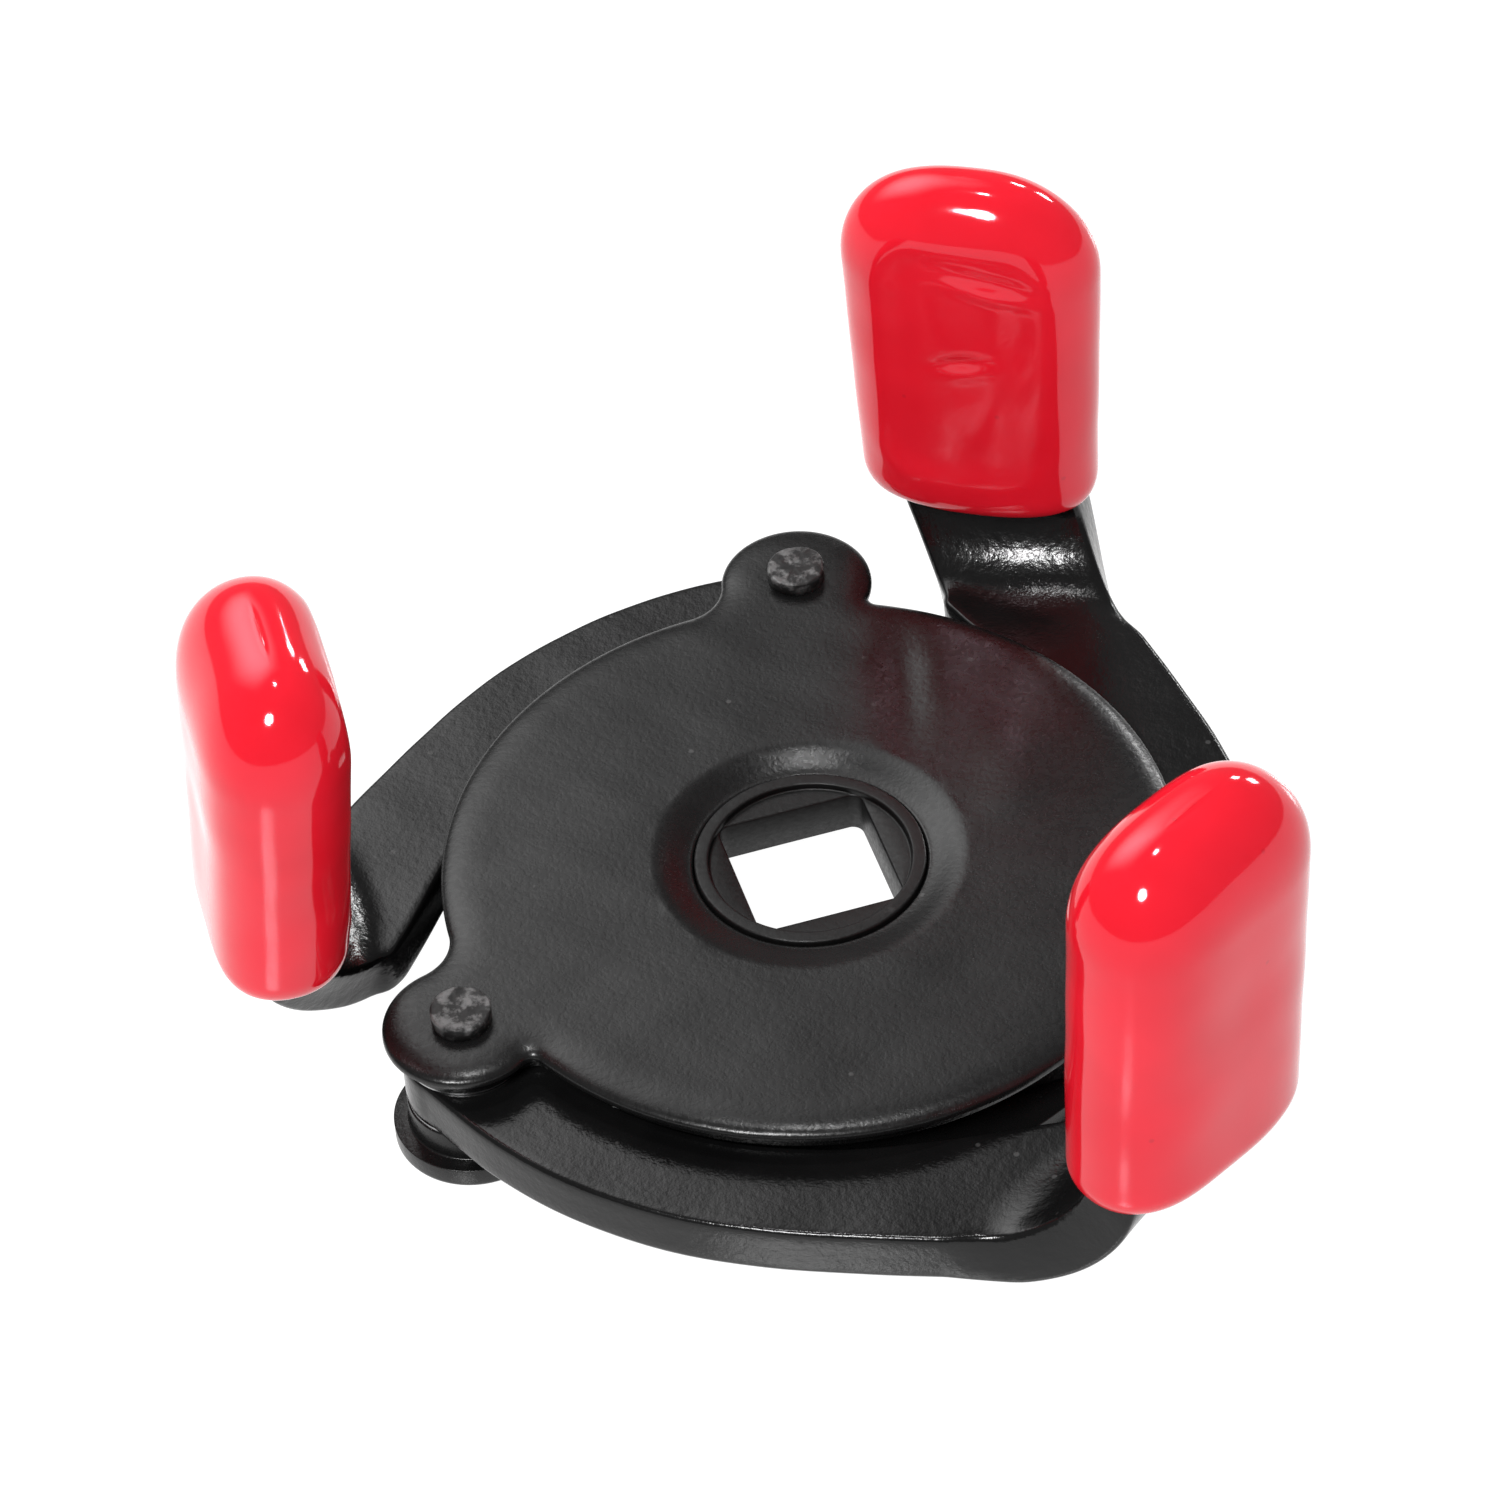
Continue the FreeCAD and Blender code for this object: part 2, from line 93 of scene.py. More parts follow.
# %% Sizes of the plates, gear and jaws
PLATE_RADIUS = 23.45
EAR_RADIUS = 5.0
SMOOTH_BLEND = 3.2
TIGHT_BLEND = 0.7
EAR_BLENDS = ((TIGHT_BLEND, SMOOTH_BLEND), (SMOOTH_BLEND, TIGHT_BLEND), (TIGHT_BLEND, TIGHT_BLEND))
STEP_INSET = 1.0
HUB_RADIUS = 7.37
HUB_GAP = 0.08
DISH_RADIUS = 10.2
DISH_LEVEL = HUB_TOP - 0.25
SPIGOT_RADIUS = 10.6
JAW_THICK = JAW_TOP - JAW_BOTTOM
TAB_ANGLE = 105.3
TAB_OUT = 33.9
BEND_RADIUS = 6.0

# %% [markdown]
# ## From arrays to meshes
# Most new pieces are a grid of points: rows that follow one another along a profile or a path,
# and columns that go round. Joining neighbours makes quads, and a row that shrinks to one
# point closes a pole. The faces are then turned outwards.

# %% The grid helper
def angle_vectors(degrees):
    """Unit vectors in the plan, (cos a, sin a)."""
    radians = np.radians(degrees)
    return np.stack([np.cos(radians), np.sin(radians)], axis=-1)


def turned(points, degrees):
    """Points turned about the hub's upright axis."""
    c = math.cos(math.radians(degrees))
    s = math.sin(math.radians(degrees))
    spin = np.array([[c, s, 0.0], [-s, c, 0.0], [0.0, 0.0, 1.0]])
    return points @ spin


SAME_PLACE = 2e-7
NO_LENGTH = 1e-7


def close_and_orient(mesh):
    """Merges points that fall together and turns every face outwards."""
    work = bmesh.new()
    work.from_mesh(mesh)
    bmesh.ops.remove_doubles(work, verts=work.verts, dist=SAME_PLACE)
    bmesh.ops.dissolve_degenerate(work, edges=work.edges, dist=NO_LENGTH)
    bmesh.ops.recalc_face_normals(work, faces=work.faces)
    work.to_mesh(mesh)
    work.free()


def grid_faces(row_count, column_count, ring=False):
    """Four corners per quad of a grid whose columns wrap round. Point r, c has the number
    r columns + c, and with ring the last row joins the first."""
    index = np.arange(row_count * column_count).reshape(row_count, column_count)
    if ring:
        index = np.vstack([index, index[:1]])
    index = np.hstack([index, index[:, :1]])
    quads = np.stack([index[:-1, :-1], index[:-1, 1:], index[1:, 1:], index[1:, :-1]], axis=-1)
    return quads.reshape(-1, 4)


def piece_from_grid(name, rows, ring=False, marks=None):
    """A closed piece from rows x columns x 3 points in mm. Columns always wrap round, and the
    last row joins the first if ring is set. marks is a value per point, kept as an attribute."""
    quads = grid_faces(*rows.shape[:2], ring)
    mesh = bpy.data.meshes.new(name)
    mesh.vertices.add(rows.shape[0] * rows.shape[1])
    mesh.vertices.foreach_set("co", (rows * MM).astype(np.float32).ravel())
    mesh.loops.add(quads.size)
    mesh.loops.foreach_set("vertex_index", quads.astype(np.int32).ravel())
    mesh.polygons.add(len(quads))
    mesh.polygons.foreach_set("loop_start", np.arange(0, quads.size, 4, dtype=np.int32))
    mesh.update(calc_edges=True)
    if marks is not None:
        layer = mesh.attributes.new("mark", "FLOAT", "POINT")
        layer.data.foreach_set("value", marks.astype(np.float32).ravel())
    return finished_piece(name, mesh)


def finished_piece(name, mesh):
    """Closes the mesh, smooths its shading and puts it in the scene, in its own place."""
    close_and_orient(mesh)
    mesh.polygons.foreach_set("use_smooth", np.ones(len(mesh.polygons), dtype=bool))
    piece = bpy.data.objects.new(name, mesh)
    bpy.context.scene.collection.objects.link(piece)
    print("%-18s %6d faces" % (name, len(mesh.polygons)))
    return piece


# %% [markdown]
# A stamped or turned part never has a perfectly sharp edge, and the thin bright line along an
# edge is what makes metal look real. So each profile's corners are replaced by small arcs.

# %% Rounded profiles
def rounded(corners, radii, steps=4):
    """A polyline whose inner corners are arcs. At each corner the arc's centre lies on the
    bisector, at radius / sin(half the corner's angle), and it touches both sides."""
    corners = np.array(corners, dtype=float)
    parts = [corners[:1]]
    for before, corner, after, radius in zip(corners[:-2], corners[1:-1], corners[2:], radii):
        to_before = (before - corner) / np.linalg.norm(before - corner)
        to_after = (after - corner) / np.linalg.norm(after - corner)
        half = math.acos(float(np.clip(to_before @ to_after, -1, 1))) / 2
        if radius <= 0 or half > math.radians(89):
            parts.append(corner[None])
            continue
        bisector = to_before + to_after
        centre = corner + bisector / np.linalg.norm(bisector) * radius / math.sin(half)
        start = corner + to_before * radius / math.tan(half) - centre
        end = corner + to_after * radius / math.tan(half) - centre
        first = math.atan2(start[1], start[0])
        sweep = (math.atan2(end[1], end[0]) - first + math.pi) % (2 * math.pi) - math.pi
        angles = first + sweep * np.linspace(0, 1, steps + 1)
        parts.append(centre + radius * np.stack([np.cos(angles), np.sin(angles)], axis=-1))
    parts.append(corners[-1:])
    return np.vstack(parts)


def smooth_step(value, low, high):
    """0 below low, 1 above high, and an S between them: 3 t^2 - 2 t^3."""
    t = np.clip((value - low) / (high - low), 0, 1)
    return t * t * (3 - 2 * t)


def waves(points, length, seed, count=14):
    """A soft, uneven height over points: the mean of sines whose directions and phases are
    drawn at random, with wavelengths near the given length in mm."""
    draw = np.random.default_rng(seed)
    directions = draw.normal(size=(count, points.shape[-1]))
    directions /= np.linalg.norm(directions, axis=1)[:, None]
    numbers = 2 * math.pi / (length * draw.uniform(0.6, 1.6, count))
    phases = draw.uniform(0, 2 * math.pi, count)
    return np.sin(points @ (directions * numbers[:, None]).T + phases).sum(axis=-1) / math.sqrt(count)


# %% [markdown]
# ## The plates' outline
# Each plate is round with three ears for the rivets. Its edge is a chain of arcs: plate, blend,
# ear, blend. Every arc keeps its centre when the outline is drawn inwards, so one set of
# centres, radii and directions gives the outline at any inset, point for point.

# %% The outline as arcs
def blend_centre(pivot_angle, side, blend):
    """Centre of the round that touches plate and ear, by the cosine rule in the triangle of
    the plate's centre, the ear's centre and the round's centre."""
    a = PLATE_RADIUS + blend
    b = EAR_RADIUS + blend
    cosine = (a * a + PIVOT_RADIUS**2 - b * b) / (2 * a * PIVOT_RADIUS)
    return a * angle_vectors(pivot_angle + side * math.degrees(math.acos(cosine)))


def arc_samples(centre, radius, sign, start, end, spacing=0.16):
    """Rows of centre, radius, sign and direction along an arc. sign is +1 where drawing the
    outline inwards makes the arc smaller, and -1 where it makes it larger."""
    length = radius * math.radians(abs(end - start))
    count = max(8, int(length / spacing))
    angles = np.linspace(start, end, count, endpoint=False)
    columns = [np.tile(centre, (count, 1)), np.full((count, 1), radius), np.full((count, 1), sign)]
    return np.hstack(columns + [angle_vectors(angles)])


def bearing(vector):
    """The direction of a plan vector in degrees."""
    return math.degrees(math.atan2(vector[1], vector[0]))


def outline_arcs():
    """The whole outline, anticlockwise: at each ear a blend, the ear's arc, a second blend and
    then the plate's own arc up to the next ear."""
    samples = []
    pivots = [PIVOT_RADIUS * angle_vectors(angle) for angle in PIVOT_ANGLES]
    order = np.argsort(np.mod(PIVOT_ANGLES, 360))
    ears = [(PIVOT_ANGLES[i] % 360, pivots[i], EAR_BLENDS[i]) for i in order]
    for position, (angle, pivot, blends) in enumerate(ears):
        before = blend_centre(angle, -1, blends[0])
        after = blend_centre(angle, 1, blends[1])
        next_angle, _, next_blends = ears[(position + 1) % len(ears)]
        next_before = blend_centre(next_angle, -1, next_blends[0])
        plate_side = bearing(-before)
        turn = (bearing(pivot - before) - plate_side + 180) % 360 - 180
        samples.append(arc_samples(before, blends[0], -1, plate_side, plate_side + turn))
        ear_start = bearing(before - pivot)
        ear_turn = (bearing(after - pivot) - ear_start) % 360
        samples.append(arc_samples(pivot, EAR_RADIUS, 1, ear_start, ear_start + ear_turn))
        ear_side = bearing(pivot - after)
        turn = (bearing(-after) - ear_side + 180) % 360 - 180
        samples.append(arc_samples(after, blends[1], -1, ear_side, ear_side + turn))
        plate_start = bearing(after)
        plate_turn = (bearing(next_before) - plate_start) % 360
        plate_end = plate_start + plate_turn
        samples.append(arc_samples(np.zeros(2), PLATE_RADIUS, 1, plate_start, plate_end))
    return np.vstack(samples)


OUTLINE = outline_arcs()


def outline(inset):
    """Plan points of the outline drawn in by inset: centre + (radius - sign inset) direction."""
    reach = OUTLINE[:, 2:3] - OUTLINE[:, 3:4] * inset
    return OUTLINE[:, :2] + reach * OUTLINE[:, 4:6]


print("outline points:", len(OUTLINE))

# %% [markdown]
# ## Top cover and base plate
# Each plate is pressed from sheet, so its rim rolls over in a broad soft shoulder. The rim and
# the hole are rows of points. The broad faces between them are filled with evenly spaced points
# joined into triangles, so they can carry the shallow waves that pressing and paint leave.

# %% Rows of a plate
def rim_rows(profile):
    """Rows on the outline. The profile is pairs of inset and height."""
    rows = []
    for inset, height in profile:
        plan = outline(inset)
        rows.append(np.column_stack([plan, np.full(len(plan), height)]))
    return np.array(rows)


def radial_rows(profile, angles, centre=(0.0, 0.0)):
    """Rows from pairs of radius and height, where a radius is a number or one per angle."""
    rows = []
    for radius, height in profile:
        reach = np.broadcast_to(radius, angles.shape)[:, None]
        plan = reach * angle_vectors(angles) + np.asarray(centre)
        rows.append(np.column_stack([plan, np.full(len(angles), height)]))
    return np.array(rows)


# %% Fill a broad face
def inside_outline(points, inset):
    """True for plan points that lie within the outline drawn in by inset: crossings of a line
    running to the right are counted, and an odd number means inside."""
    edge = outline(inset)
    following = np.roll(edge, -1, axis=0)
    x, y = points[:, 0:1], points[:, 1:2]
    spans = (edge[:, 1] > y) != (following[:, 1] > y)
    run, rise = (following - edge).T
    slope = run / np.where(rise == 0, 1.0, rise)
    right = x < edge[:, 0] + (y - edge[:, 1]) * slope
    return (spans & right).sum(axis=1) % 2 == 1


HOLE_ANGLES = np.linspace(0, 360, 480, endpoint=False)
WHOLE_FACE = 0
MERGE_CLOSER = 1e-5


def face_fill(inset, hole_radius, height, spacing=0.6):
    """A flat face between the outline at an inset and a circle: loose points on a triangular
    grid, joined with both edges by a constrained triangulation."""
    reach = PIVOT_RADIUS + EAR_RADIUS
    steps = np.arange(-reach, reach, spacing)
    x, y = np.meshgrid(steps, steps * math.sqrt(0.75))
    x = x + (np.arange(len(steps)) % 2)[:, None] * spacing / 2
    loose = np.column_stack([x.ravel(), y.ravel()])
    loose = loose[np.linalg.norm(loose, axis=1) > hole_radius + spacing / 2]
    loose = loose[inside_outline(loose, inset + spacing / 2)]
    rim = outline(inset)
    hole = hole_radius * angle_vectors(HOLE_ANGLES)
    points = np.vstack([rim, hole, loose])
    loops = [(i, (i + 1) % len(rim)) for i in range(len(rim))]
    loops += [(len(rim) + i, len(rim) + (i + 1) % len(hole)) for i in range(len(hole))]
    vectors = [Vector(p) for p in points.tolist()]
    filled = delaunay_2d_cdt(vectors, loops, [], WHOLE_FACE, MERGE_CLOSER)
    found = np.array([v[:] for v in filled[0]])
    faces = np.array([f[:] for f in filled[2]])
    middles = found[faces].mean(axis=1)
    keep = (np.linalg.norm(middles, axis=1) > hole_radius - 0.01) & inside_outline(middles, inset)
    return np.column_stack([found, np.full(len(found), height)]), faces[keep]


# %% A whole plate
def plate_piece(name, rim, hole, marks):
    """A closed plate: rim rows and hole rows, with a filled face above and below. The rim runs
    from the top face round to the underside, and the hole from the underside to the top.
    marks moves every point a little, as pressing does."""
    grids = (rim_rows(rim), radial_rows(hole, HOLE_ANGLES))
    parts = [(grid.reshape(-1, 3), grid_faces(*grid.shape[:2])) for grid in grids]
    parts.append(face_fill(rim[0][0], hole[-1][0], rim[0][1]))
    parts.append(face_fill(rim[-1][0], hole[0][0], rim[-1][1]))
    faces = []
    first = 0
    for part_points, part_faces in parts:
        faces += (part_faces + first).tolist()
        first += len(part_points)
    points = np.vstack([part_points for part_points, _ in parts])
    mesh = bpy.data.meshes.new(name)
    mesh.from_pydata((marks(points) * MM).tolist(), [], faces)
    return finished_piece(name, mesh)


# %% The cover
COVER_LIP = 9.25
LIP_THICK = 0.25
SHOULDER = 3.0
SHOULDER_POWER = 2.5
HOLE_RADIUS = HUB_RADIUS + HUB_GAP
HOLE_BRIM = 0.25
# marks left by the press: place x and y, half width in x and y, height
VALLEY = (6.6, 15.0, 1.5, 5.5, -0.26)
CROWN = (13.2, 8.0, 2.2, 4.5, 0.20)


def dish_profile():
    """The dip round the hub: a rounded brim at the ring's level, then an S up to the flat."""
    radii = np.linspace(HOLE_RADIUS + HOLE_BRIM, DISH_RADIUS, 16)
    rise = smooth_step(radii, HOLE_RADIUS - 0.2, DISH_RADIUS)
    heights = DISH_LEVEL + (COVER_TOP - DISH_LEVEL) * (rise - rise[0]) / (1 - rise[0])
    return np.column_stack([radii, heights])


def shoulder_profile():
    """The rolled rim from the flat top out to the lip: height falls with the distance from the
    flat as 1 - (1 - t^p)^(1/p), which starts slowly and ends steeply."""
    turn = np.linspace(0, 1, 26)
    share = np.sin(turn * math.pi / 2)
    fall = 1 - np.maximum(1 - share**SHOULDER_POWER, 0) ** (1 / SHOULDER_POWER)
    inset = SHOULDER * (1 - share)
    return np.column_stack([inset, COVER_TOP - (COVER_TOP - COVER_LIP - LIP_THICK) * fall])


def cover_profiles():
    """The cover's rim, from the flat top over the shoulder, round the lip and the step under
    it, and its hole, from the underside up the bore and out along the dip."""
    below = rounded(
        [(0, COVER_LIP + LIP_THICK), (0, COVER_LIP), (STEP_INSET, COVER_LIP), (STEP_INSET, COVER_STEP),
         (SHOULDER, COVER_STEP)],
        [0.10, 0.12, 0.08], steps=4)
    hole = rounded(
        [(DISH_RADIUS + 1.0, COVER_STEP), (HOLE_RADIUS, COVER_STEP), (HOLE_RADIUS, DISH_LEVEL),
         (HOLE_RADIUS + HOLE_BRIM, DISH_LEVEL)],
        [0.08, 0.22], steps=5)
    rim = np.vstack([shoulder_profile(), below[1:]])
    return rim, np.vstack([hole[:-1], dish_profile()])


def bell(plan, x, y, half_x, half_y, height):
    """A soft hill or valley at x, y: height exp(-(dx / half_x)^2 - (dy / half_y)^2)."""
    return height * np.exp(-(((plan[:, 0] - x) / half_x) ** 2 + ((plan[:, 1] - y) / half_y) ** 2))


def press_marks(points):
    """Unevenness of the pressed top: long waves over all of it, a soft valley beside the first
    ear and a low crown right of the hub, fading out towards the hole."""
    plan = points[:, :2]
    reach = np.linalg.norm(plan, axis=1)
    top = smooth_step(points[:, 2], COVER_TOP - 0.75, COVER_TOP - 0.05)
    height = 0.022 * waves(plan, 12.0, 3) + 0.010 * waves(plan, 5.0, 5)
    height = height + bell(plan, *VALLEY) + bell(plan, *CROWN)
    moved = points.copy()
    moved[:, 2] += top * smooth_step(reach, HOLE_RADIUS + 0.5, 11.5) * height
    return moved


cover = plate_piece("cover_shell", *cover_profiles(), press_marks)

# %% The base plate
BASE_LIP = 1.6
PLATE_HOLE_FLARE = 12.3
BASE_HOLE = SPIGOT_RADIUS + HUB_GAP
BASE_FLAT = 2.0
BASE_WAVE = 0.012


def base_profiles():
    """The base plate's rim, from its upper step round the lip to the underside, and its hole,
    a flare and a bore for the gear's spigot."""
    rim = rounded(
        [(BASE_FLAT, BASE_STEP), (STEP_INSET, BASE_STEP), (STEP_INSET, BASE_LIP), (0, BASE_LIP),
         (0, BASE_UNDERSIDE), (BASE_FLAT, BASE_UNDERSIDE)],
        [0.08, 0.12, 0.06, 0.45], steps=5)
    hole = rounded(
        [(PLATE_HOLE_FLARE + 1.5, BASE_UNDERSIDE), (PLATE_HOLE_FLARE, BASE_UNDERSIDE),
         (BASE_HOLE, SPIGOT_BOTTOM), (BASE_HOLE, BASE_STEP), (PLATE_HOLE_FLARE, BASE_STEP)],
        [0.3, 0.1, 0.1], steps=4)
    return rim, hole


def base_marks(points):
    """Long, very shallow waves over both faces of the base plate."""
    moved = points.copy()
    reach = np.linalg.norm(points[:, :2], axis=1)
    moved[:, 2] += BASE_WAVE * waves(points[:, :2], 11.0, 8) * smooth_step(reach, PLATE_HOLE_FLARE, 16.0)
    moved[:, 2] = np.maximum(moved[:, 2], BASE_UNDERSIDE)
    return moved


base = plate_piece("base_plate_shell", *base_profiles(), base_marks)

# %% [markdown]
# ## Drive gear
# One turned and cut piece: a ring that shows in the cover, teeth under it, a spigot in the base
# plate and a square hole. Every row is a distance from the axis as a function of the angle:
# a circle, a square with rounded corners, or the teeth.

# %% Gear outlines
TEETH = 18
PITCH_RADIUS = PIVOT_RADIUS / 2
MODULE = 2 * PITCH_RADIUS / TEETH
ROOT_RADIUS = PITCH_RADIUS - 1.12 * MODULE
TIP_RADIUS = PITCH_RADIUS + 0.85 * MODULE
PRESSURE = math.radians(20.0)
FLANK_EASE = math.radians(0.35)
SQUARE_SIDE = 9.53
SQUARE_CORNER = 0.8
SQUARE_ANGLE = 15.5
SQUARE_DEEP = 3.0
LEDGE_DEEP = 0.45
LEDGE_RADIUS = 6.45
RING_INSIDE = 6.7
RELIEF_RADIUS = 6.9
INSIDE_TEETH = 10.0
GEAR_GAP = 0.1
CHAMFER = 0.08


def tooth_radius(angles, centres):
    """Distance to a toothed edge. Half a tooth's angle shrinks with the radius by the involute
    of the pressure angle, so the radius is looked up from the angle off the tooth's middle."""
    base_circle = PITCH_RADIUS * math.cos(PRESSURE)
    radii = np.linspace(base_circle, TIP_RADIUS, 40)
    roll = np.arccos(base_circle / radii)
    half = math.pi / (2 * TEETH) + math.tan(PRESSURE) - PRESSURE - (np.tan(roll) - roll) - FLANK_EASE
    half = np.degrees(half)
    offset = np.abs((angles[:, None] - np.asarray(centres)[None] + 180) % 360 - 180).min(axis=1)
    radius = np.interp(offset, half[::-1], radii[::-1])
    return np.where(offset > half[0], ROOT_RADIUS, radius)


def square_radius(angles):
    """Distance to a square's edge: half the side over the cosine, with each corner an arc."""
    half = SQUARE_SIDE / 2
    from_side = np.radians((angles - SQUARE_ANGLE + 45) % 90 - 45)
    flat = half / np.cos(from_side)
    middle = half - SQUARE_CORNER
    from_corner = math.pi / 4 - np.abs(from_side)
    reach = middle * math.sqrt(2)
    inside = np.maximum(SQUARE_CORNER**2 - (reach * np.sin(from_corner)) ** 2, 0)
    corner = reach * np.cos(from_corner) + np.sqrt(inside)
    return np.where(half * np.tan(np.abs(from_side)) > middle, corner, flat)


GEAR_ANGLES = np.linspace(0, 360, 1440, endpoint=False)
SUN_TEETH = [PIVOT_ANGLES[0] + (n + 0.5) * 360 / TEETH for n in range(TEETH)]


# %% [markdown]
# The gear's profile is a closed loop that starts on the ring's flat top and goes down the
# outside first. The square's upper edge has a small worn chamfer down from the ledge.

# %% The gear's profile
def gear_profile():
    """Pairs of radius and height that go down the outside, past ring, teeth and spigot, and
    back up the inside, past relief, square and ledge."""
    gear_top = COVER_STEP - GEAR_GAP
    gear_bottom = BASE_STEP + GEAR_GAP
    ledge = HUB_TOP - LEDGE_DEEP
    square_bottom = ledge - SQUARE_DEEP
    teeth = tooth_radius(GEAR_ANGLES, SUN_TEETH)
    square = square_radius(GEAR_ANGLES)
    outside = rounded(
        [(RING_INSIDE, HUB_TOP), (HUB_RADIUS, HUB_TOP), (HUB_RADIUS, gear_top), (INSIDE_TEETH, gear_top)],
        [0.16, 0.1], steps=5)
    inside = rounded(
        [(RELIEF_RADIUS, ledge), (LEDGE_RADIUS, ledge), (LEDGE_RADIUS, HUB_TOP), (RING_INSIDE, HUB_TOP)],
        [0.06, 0.14], steps=5)
    rows = [tuple(pair) for pair in outside]
    rows += [(teeth - CHAMFER, gear_top), (teeth, gear_top - CHAMFER), (teeth, gear_bottom + CHAMFER)]
    rows += [(teeth - CHAMFER, gear_bottom), (SPIGOT_RADIUS + 0.06, gear_bottom)]
    rows += [(SPIGOT_RADIUS, gear_bottom - 0.06), (SPIGOT_RADIUS, SPIGOT_BOTTOM + 0.1)]
    rows += [(SPIGOT_RADIUS - 0.1, SPIGOT_BOTTOM), (INSIDE_TEETH, SPIGOT_BOTTOM)]
    rows += [(RELIEF_RADIUS, square_bottom), (square + 0.05, square_bottom)]
    rows += [(square, square_bottom + 0.06)]
    rows += [(square, ledge - 0.15), (square + 0.05, ledge - 0.04), (square + 0.15, ledge)]
    rows += [(np.maximum(square + 0.16, 6.3), ledge)]
    rows += [tuple(pair) for pair in inside[2:-1]]
    return rows


gear = piece_from_grid("drive_gear_hub", radial_rows(gear_profile(), GEAR_ANGLES), ring=True)

# %% [markdown]
# ## Rivets
# Each pivot is a rivet with a flat end that was hammered over, so the end is a little uneven
# and its rim is not quite round. The lower end is flush with the base plate.

# %% The rivets
SHANK_RADIUS = 1.6
HEAD_RADIUS = 1.92
LOWER_HEAD_RADIUS = 2.4
LOWER_HEAD_HIGH = 0.8
SUNK = 0.05


def rivet_rows(number):
    """A flush cone below, the shank, and a flat head whose top is rings that shrink to a point."""
    angles = np.linspace(0, 360, 96, endpoint=False)
    pivot = PIVOTS[number - 1]
    profile = rounded(
        [(LOWER_HEAD_RADIUS, BASE_UNDERSIDE), (SHANK_RADIUS, BASE_UNDERSIDE + LOWER_HEAD_HIGH),
         (SHANK_RADIUS, COVER_TOP - SUNK), (HEAD_RADIUS - SUNK, COVER_TOP - SUNK),
         (HEAD_RADIUS, RIVET_TOP), (0.0, RIVET_TOP)],
        [0, 0, 0, 0.16], steps=5)[:-1]
    centre = np.column_stack([np.linspace(HEAD_RADIUS - 0.2, 0, 12), np.full(12, RIVET_TOP)])
    foot = np.array([[0.0, BASE_UNDERSIDE], [LOWER_HEAD_RADIUS - 0.1, BASE_UNDERSIDE]])
    rows = radial_rows(np.vstack([foot, profile, centre]), angles, pivot)
    return hammered(rows, pivot, number)


def hammered(rows, pivot, number):
    """Dents on the head: short waves in height, and a rim that swells and shrinks a little."""
    on_head = smooth_step(rows[..., 2], COVER_TOP, COVER_TOP + 0.3)
    plan = rows[..., :2] - pivot
    swell = 1 + 0.022 * on_head * waves(angle_of(plan), 1.4, 40 + number)
    rows[..., :2] = pivot + plan * swell[..., None]
    dents = 0.030 * waves(rows[..., :2], 1.3, 50 + number)
    dents = dents + 0.012 * waves(rows[..., :2], 0.5, 60 + number)
    rows[..., 2] += smooth_step(rows[..., 2], RIVET_TOP - 0.3, RIVET_TOP) * dents
    return rows


def angle_of(plan):
    """The direction of each plan point as a unit vector, so that waves close up round it."""
    return plan / np.maximum(np.linalg.norm(plan, axis=-1, keepdims=True), 1e-6)


rivets = [piece_from_grid("rivet_%d" % n, rivet_rows(n)) for n in (1, 2, 3)]

# %% [markdown]
# ## Jaws
# A jaw is a thick strip. It starts round the pivot, runs as a crescent outside the cover,
# flares into a neck, bends up and ends in a tab. It is drawn as a flat blank with the pivot
# on +X, between two edge curves, with one rounded section carried along, and is then bent.

# %% Edge curves of the strip
BOSS_RADIUS = 4.0
OUTWARD = angle_vectors(TAB_ANGLE)
SIDEWAYS = angle_vectors(TAB_ANGLE + 90.0)
BEND_START = TAB_OUT - JAW_THICK / 2 - BEND_RADIUS
BEND_MIDDLE = BEND_RADIUS + JAW_THICK / 2
BEND_LENGTH = BEND_MIDDLE * math.pi / 2
TAB_FROM_BEND = TAB_TOP - (JAW_BOTTOM + JAW_THICK / 2 + BEND_MIDDLE)
BEND_OUTER_SIDES = (-16.7, -15.0, -13.7, -12.7, -11.9, -11.2, -10.6)
BEND_INNER_SIDES = (-3.75, -2.8, -1.8, -0.8, 0.15, 1.0, 1.8)
# the crescent's edges, as distance from the hub and angle from the pivot
CRESCENT_OUTER = ((28.85, 15), (28.75, 27), (28.8, 40), (29.0, 52), (29.75, 64))
CRESCENT_INNER = ((21.0, 12), (22.0, 25), (22.1, 43), (22.4, 62), (23.4, 80))
STRAIGHT = 6.0
TAB_NARROWING = 2.0736


def tab_plan(outward, sideways):
    """A plan point from distances along and across the way that the tab looks."""
    return np.asarray(outward)[..., None] * OUTWARD + np.asarray(sideways)[..., None] * SIDEWAYS


def smooth_through(points, count):
    """An even walk along a smooth curve through points: cubic pieces whose slopes at each
    point are half the way from the point before to the point after."""
    points = np.array(points, dtype=float)
    slopes = np.gradient(points, axis=0)
    fine = np.linspace(0, len(points) - 1, 40 * len(points))
    piece = np.minimum(fine.astype(int), len(points) - 2)
    t = (fine - piece)[:, None]
    p0, p1, m0, m1 = points[piece], points[piece + 1], slopes[piece], slopes[piece + 1]
    curve = (2 * t**3 - 3 * t**2 + 1) * p0 + (t**3 - 2 * t**2 + t) * m0
    curve += (3 * t**2 - 2 * t**3) * p1 + (t**3 - t**2) * m1
    walked = np.concatenate([[0], np.cumsum(np.linalg.norm(np.diff(curve, axis=0), axis=1))])
    even = np.linspace(0, walked[-1], count)
    return np.column_stack([np.interp(even, walked, curve[:, k]) for k in (0, 1)])


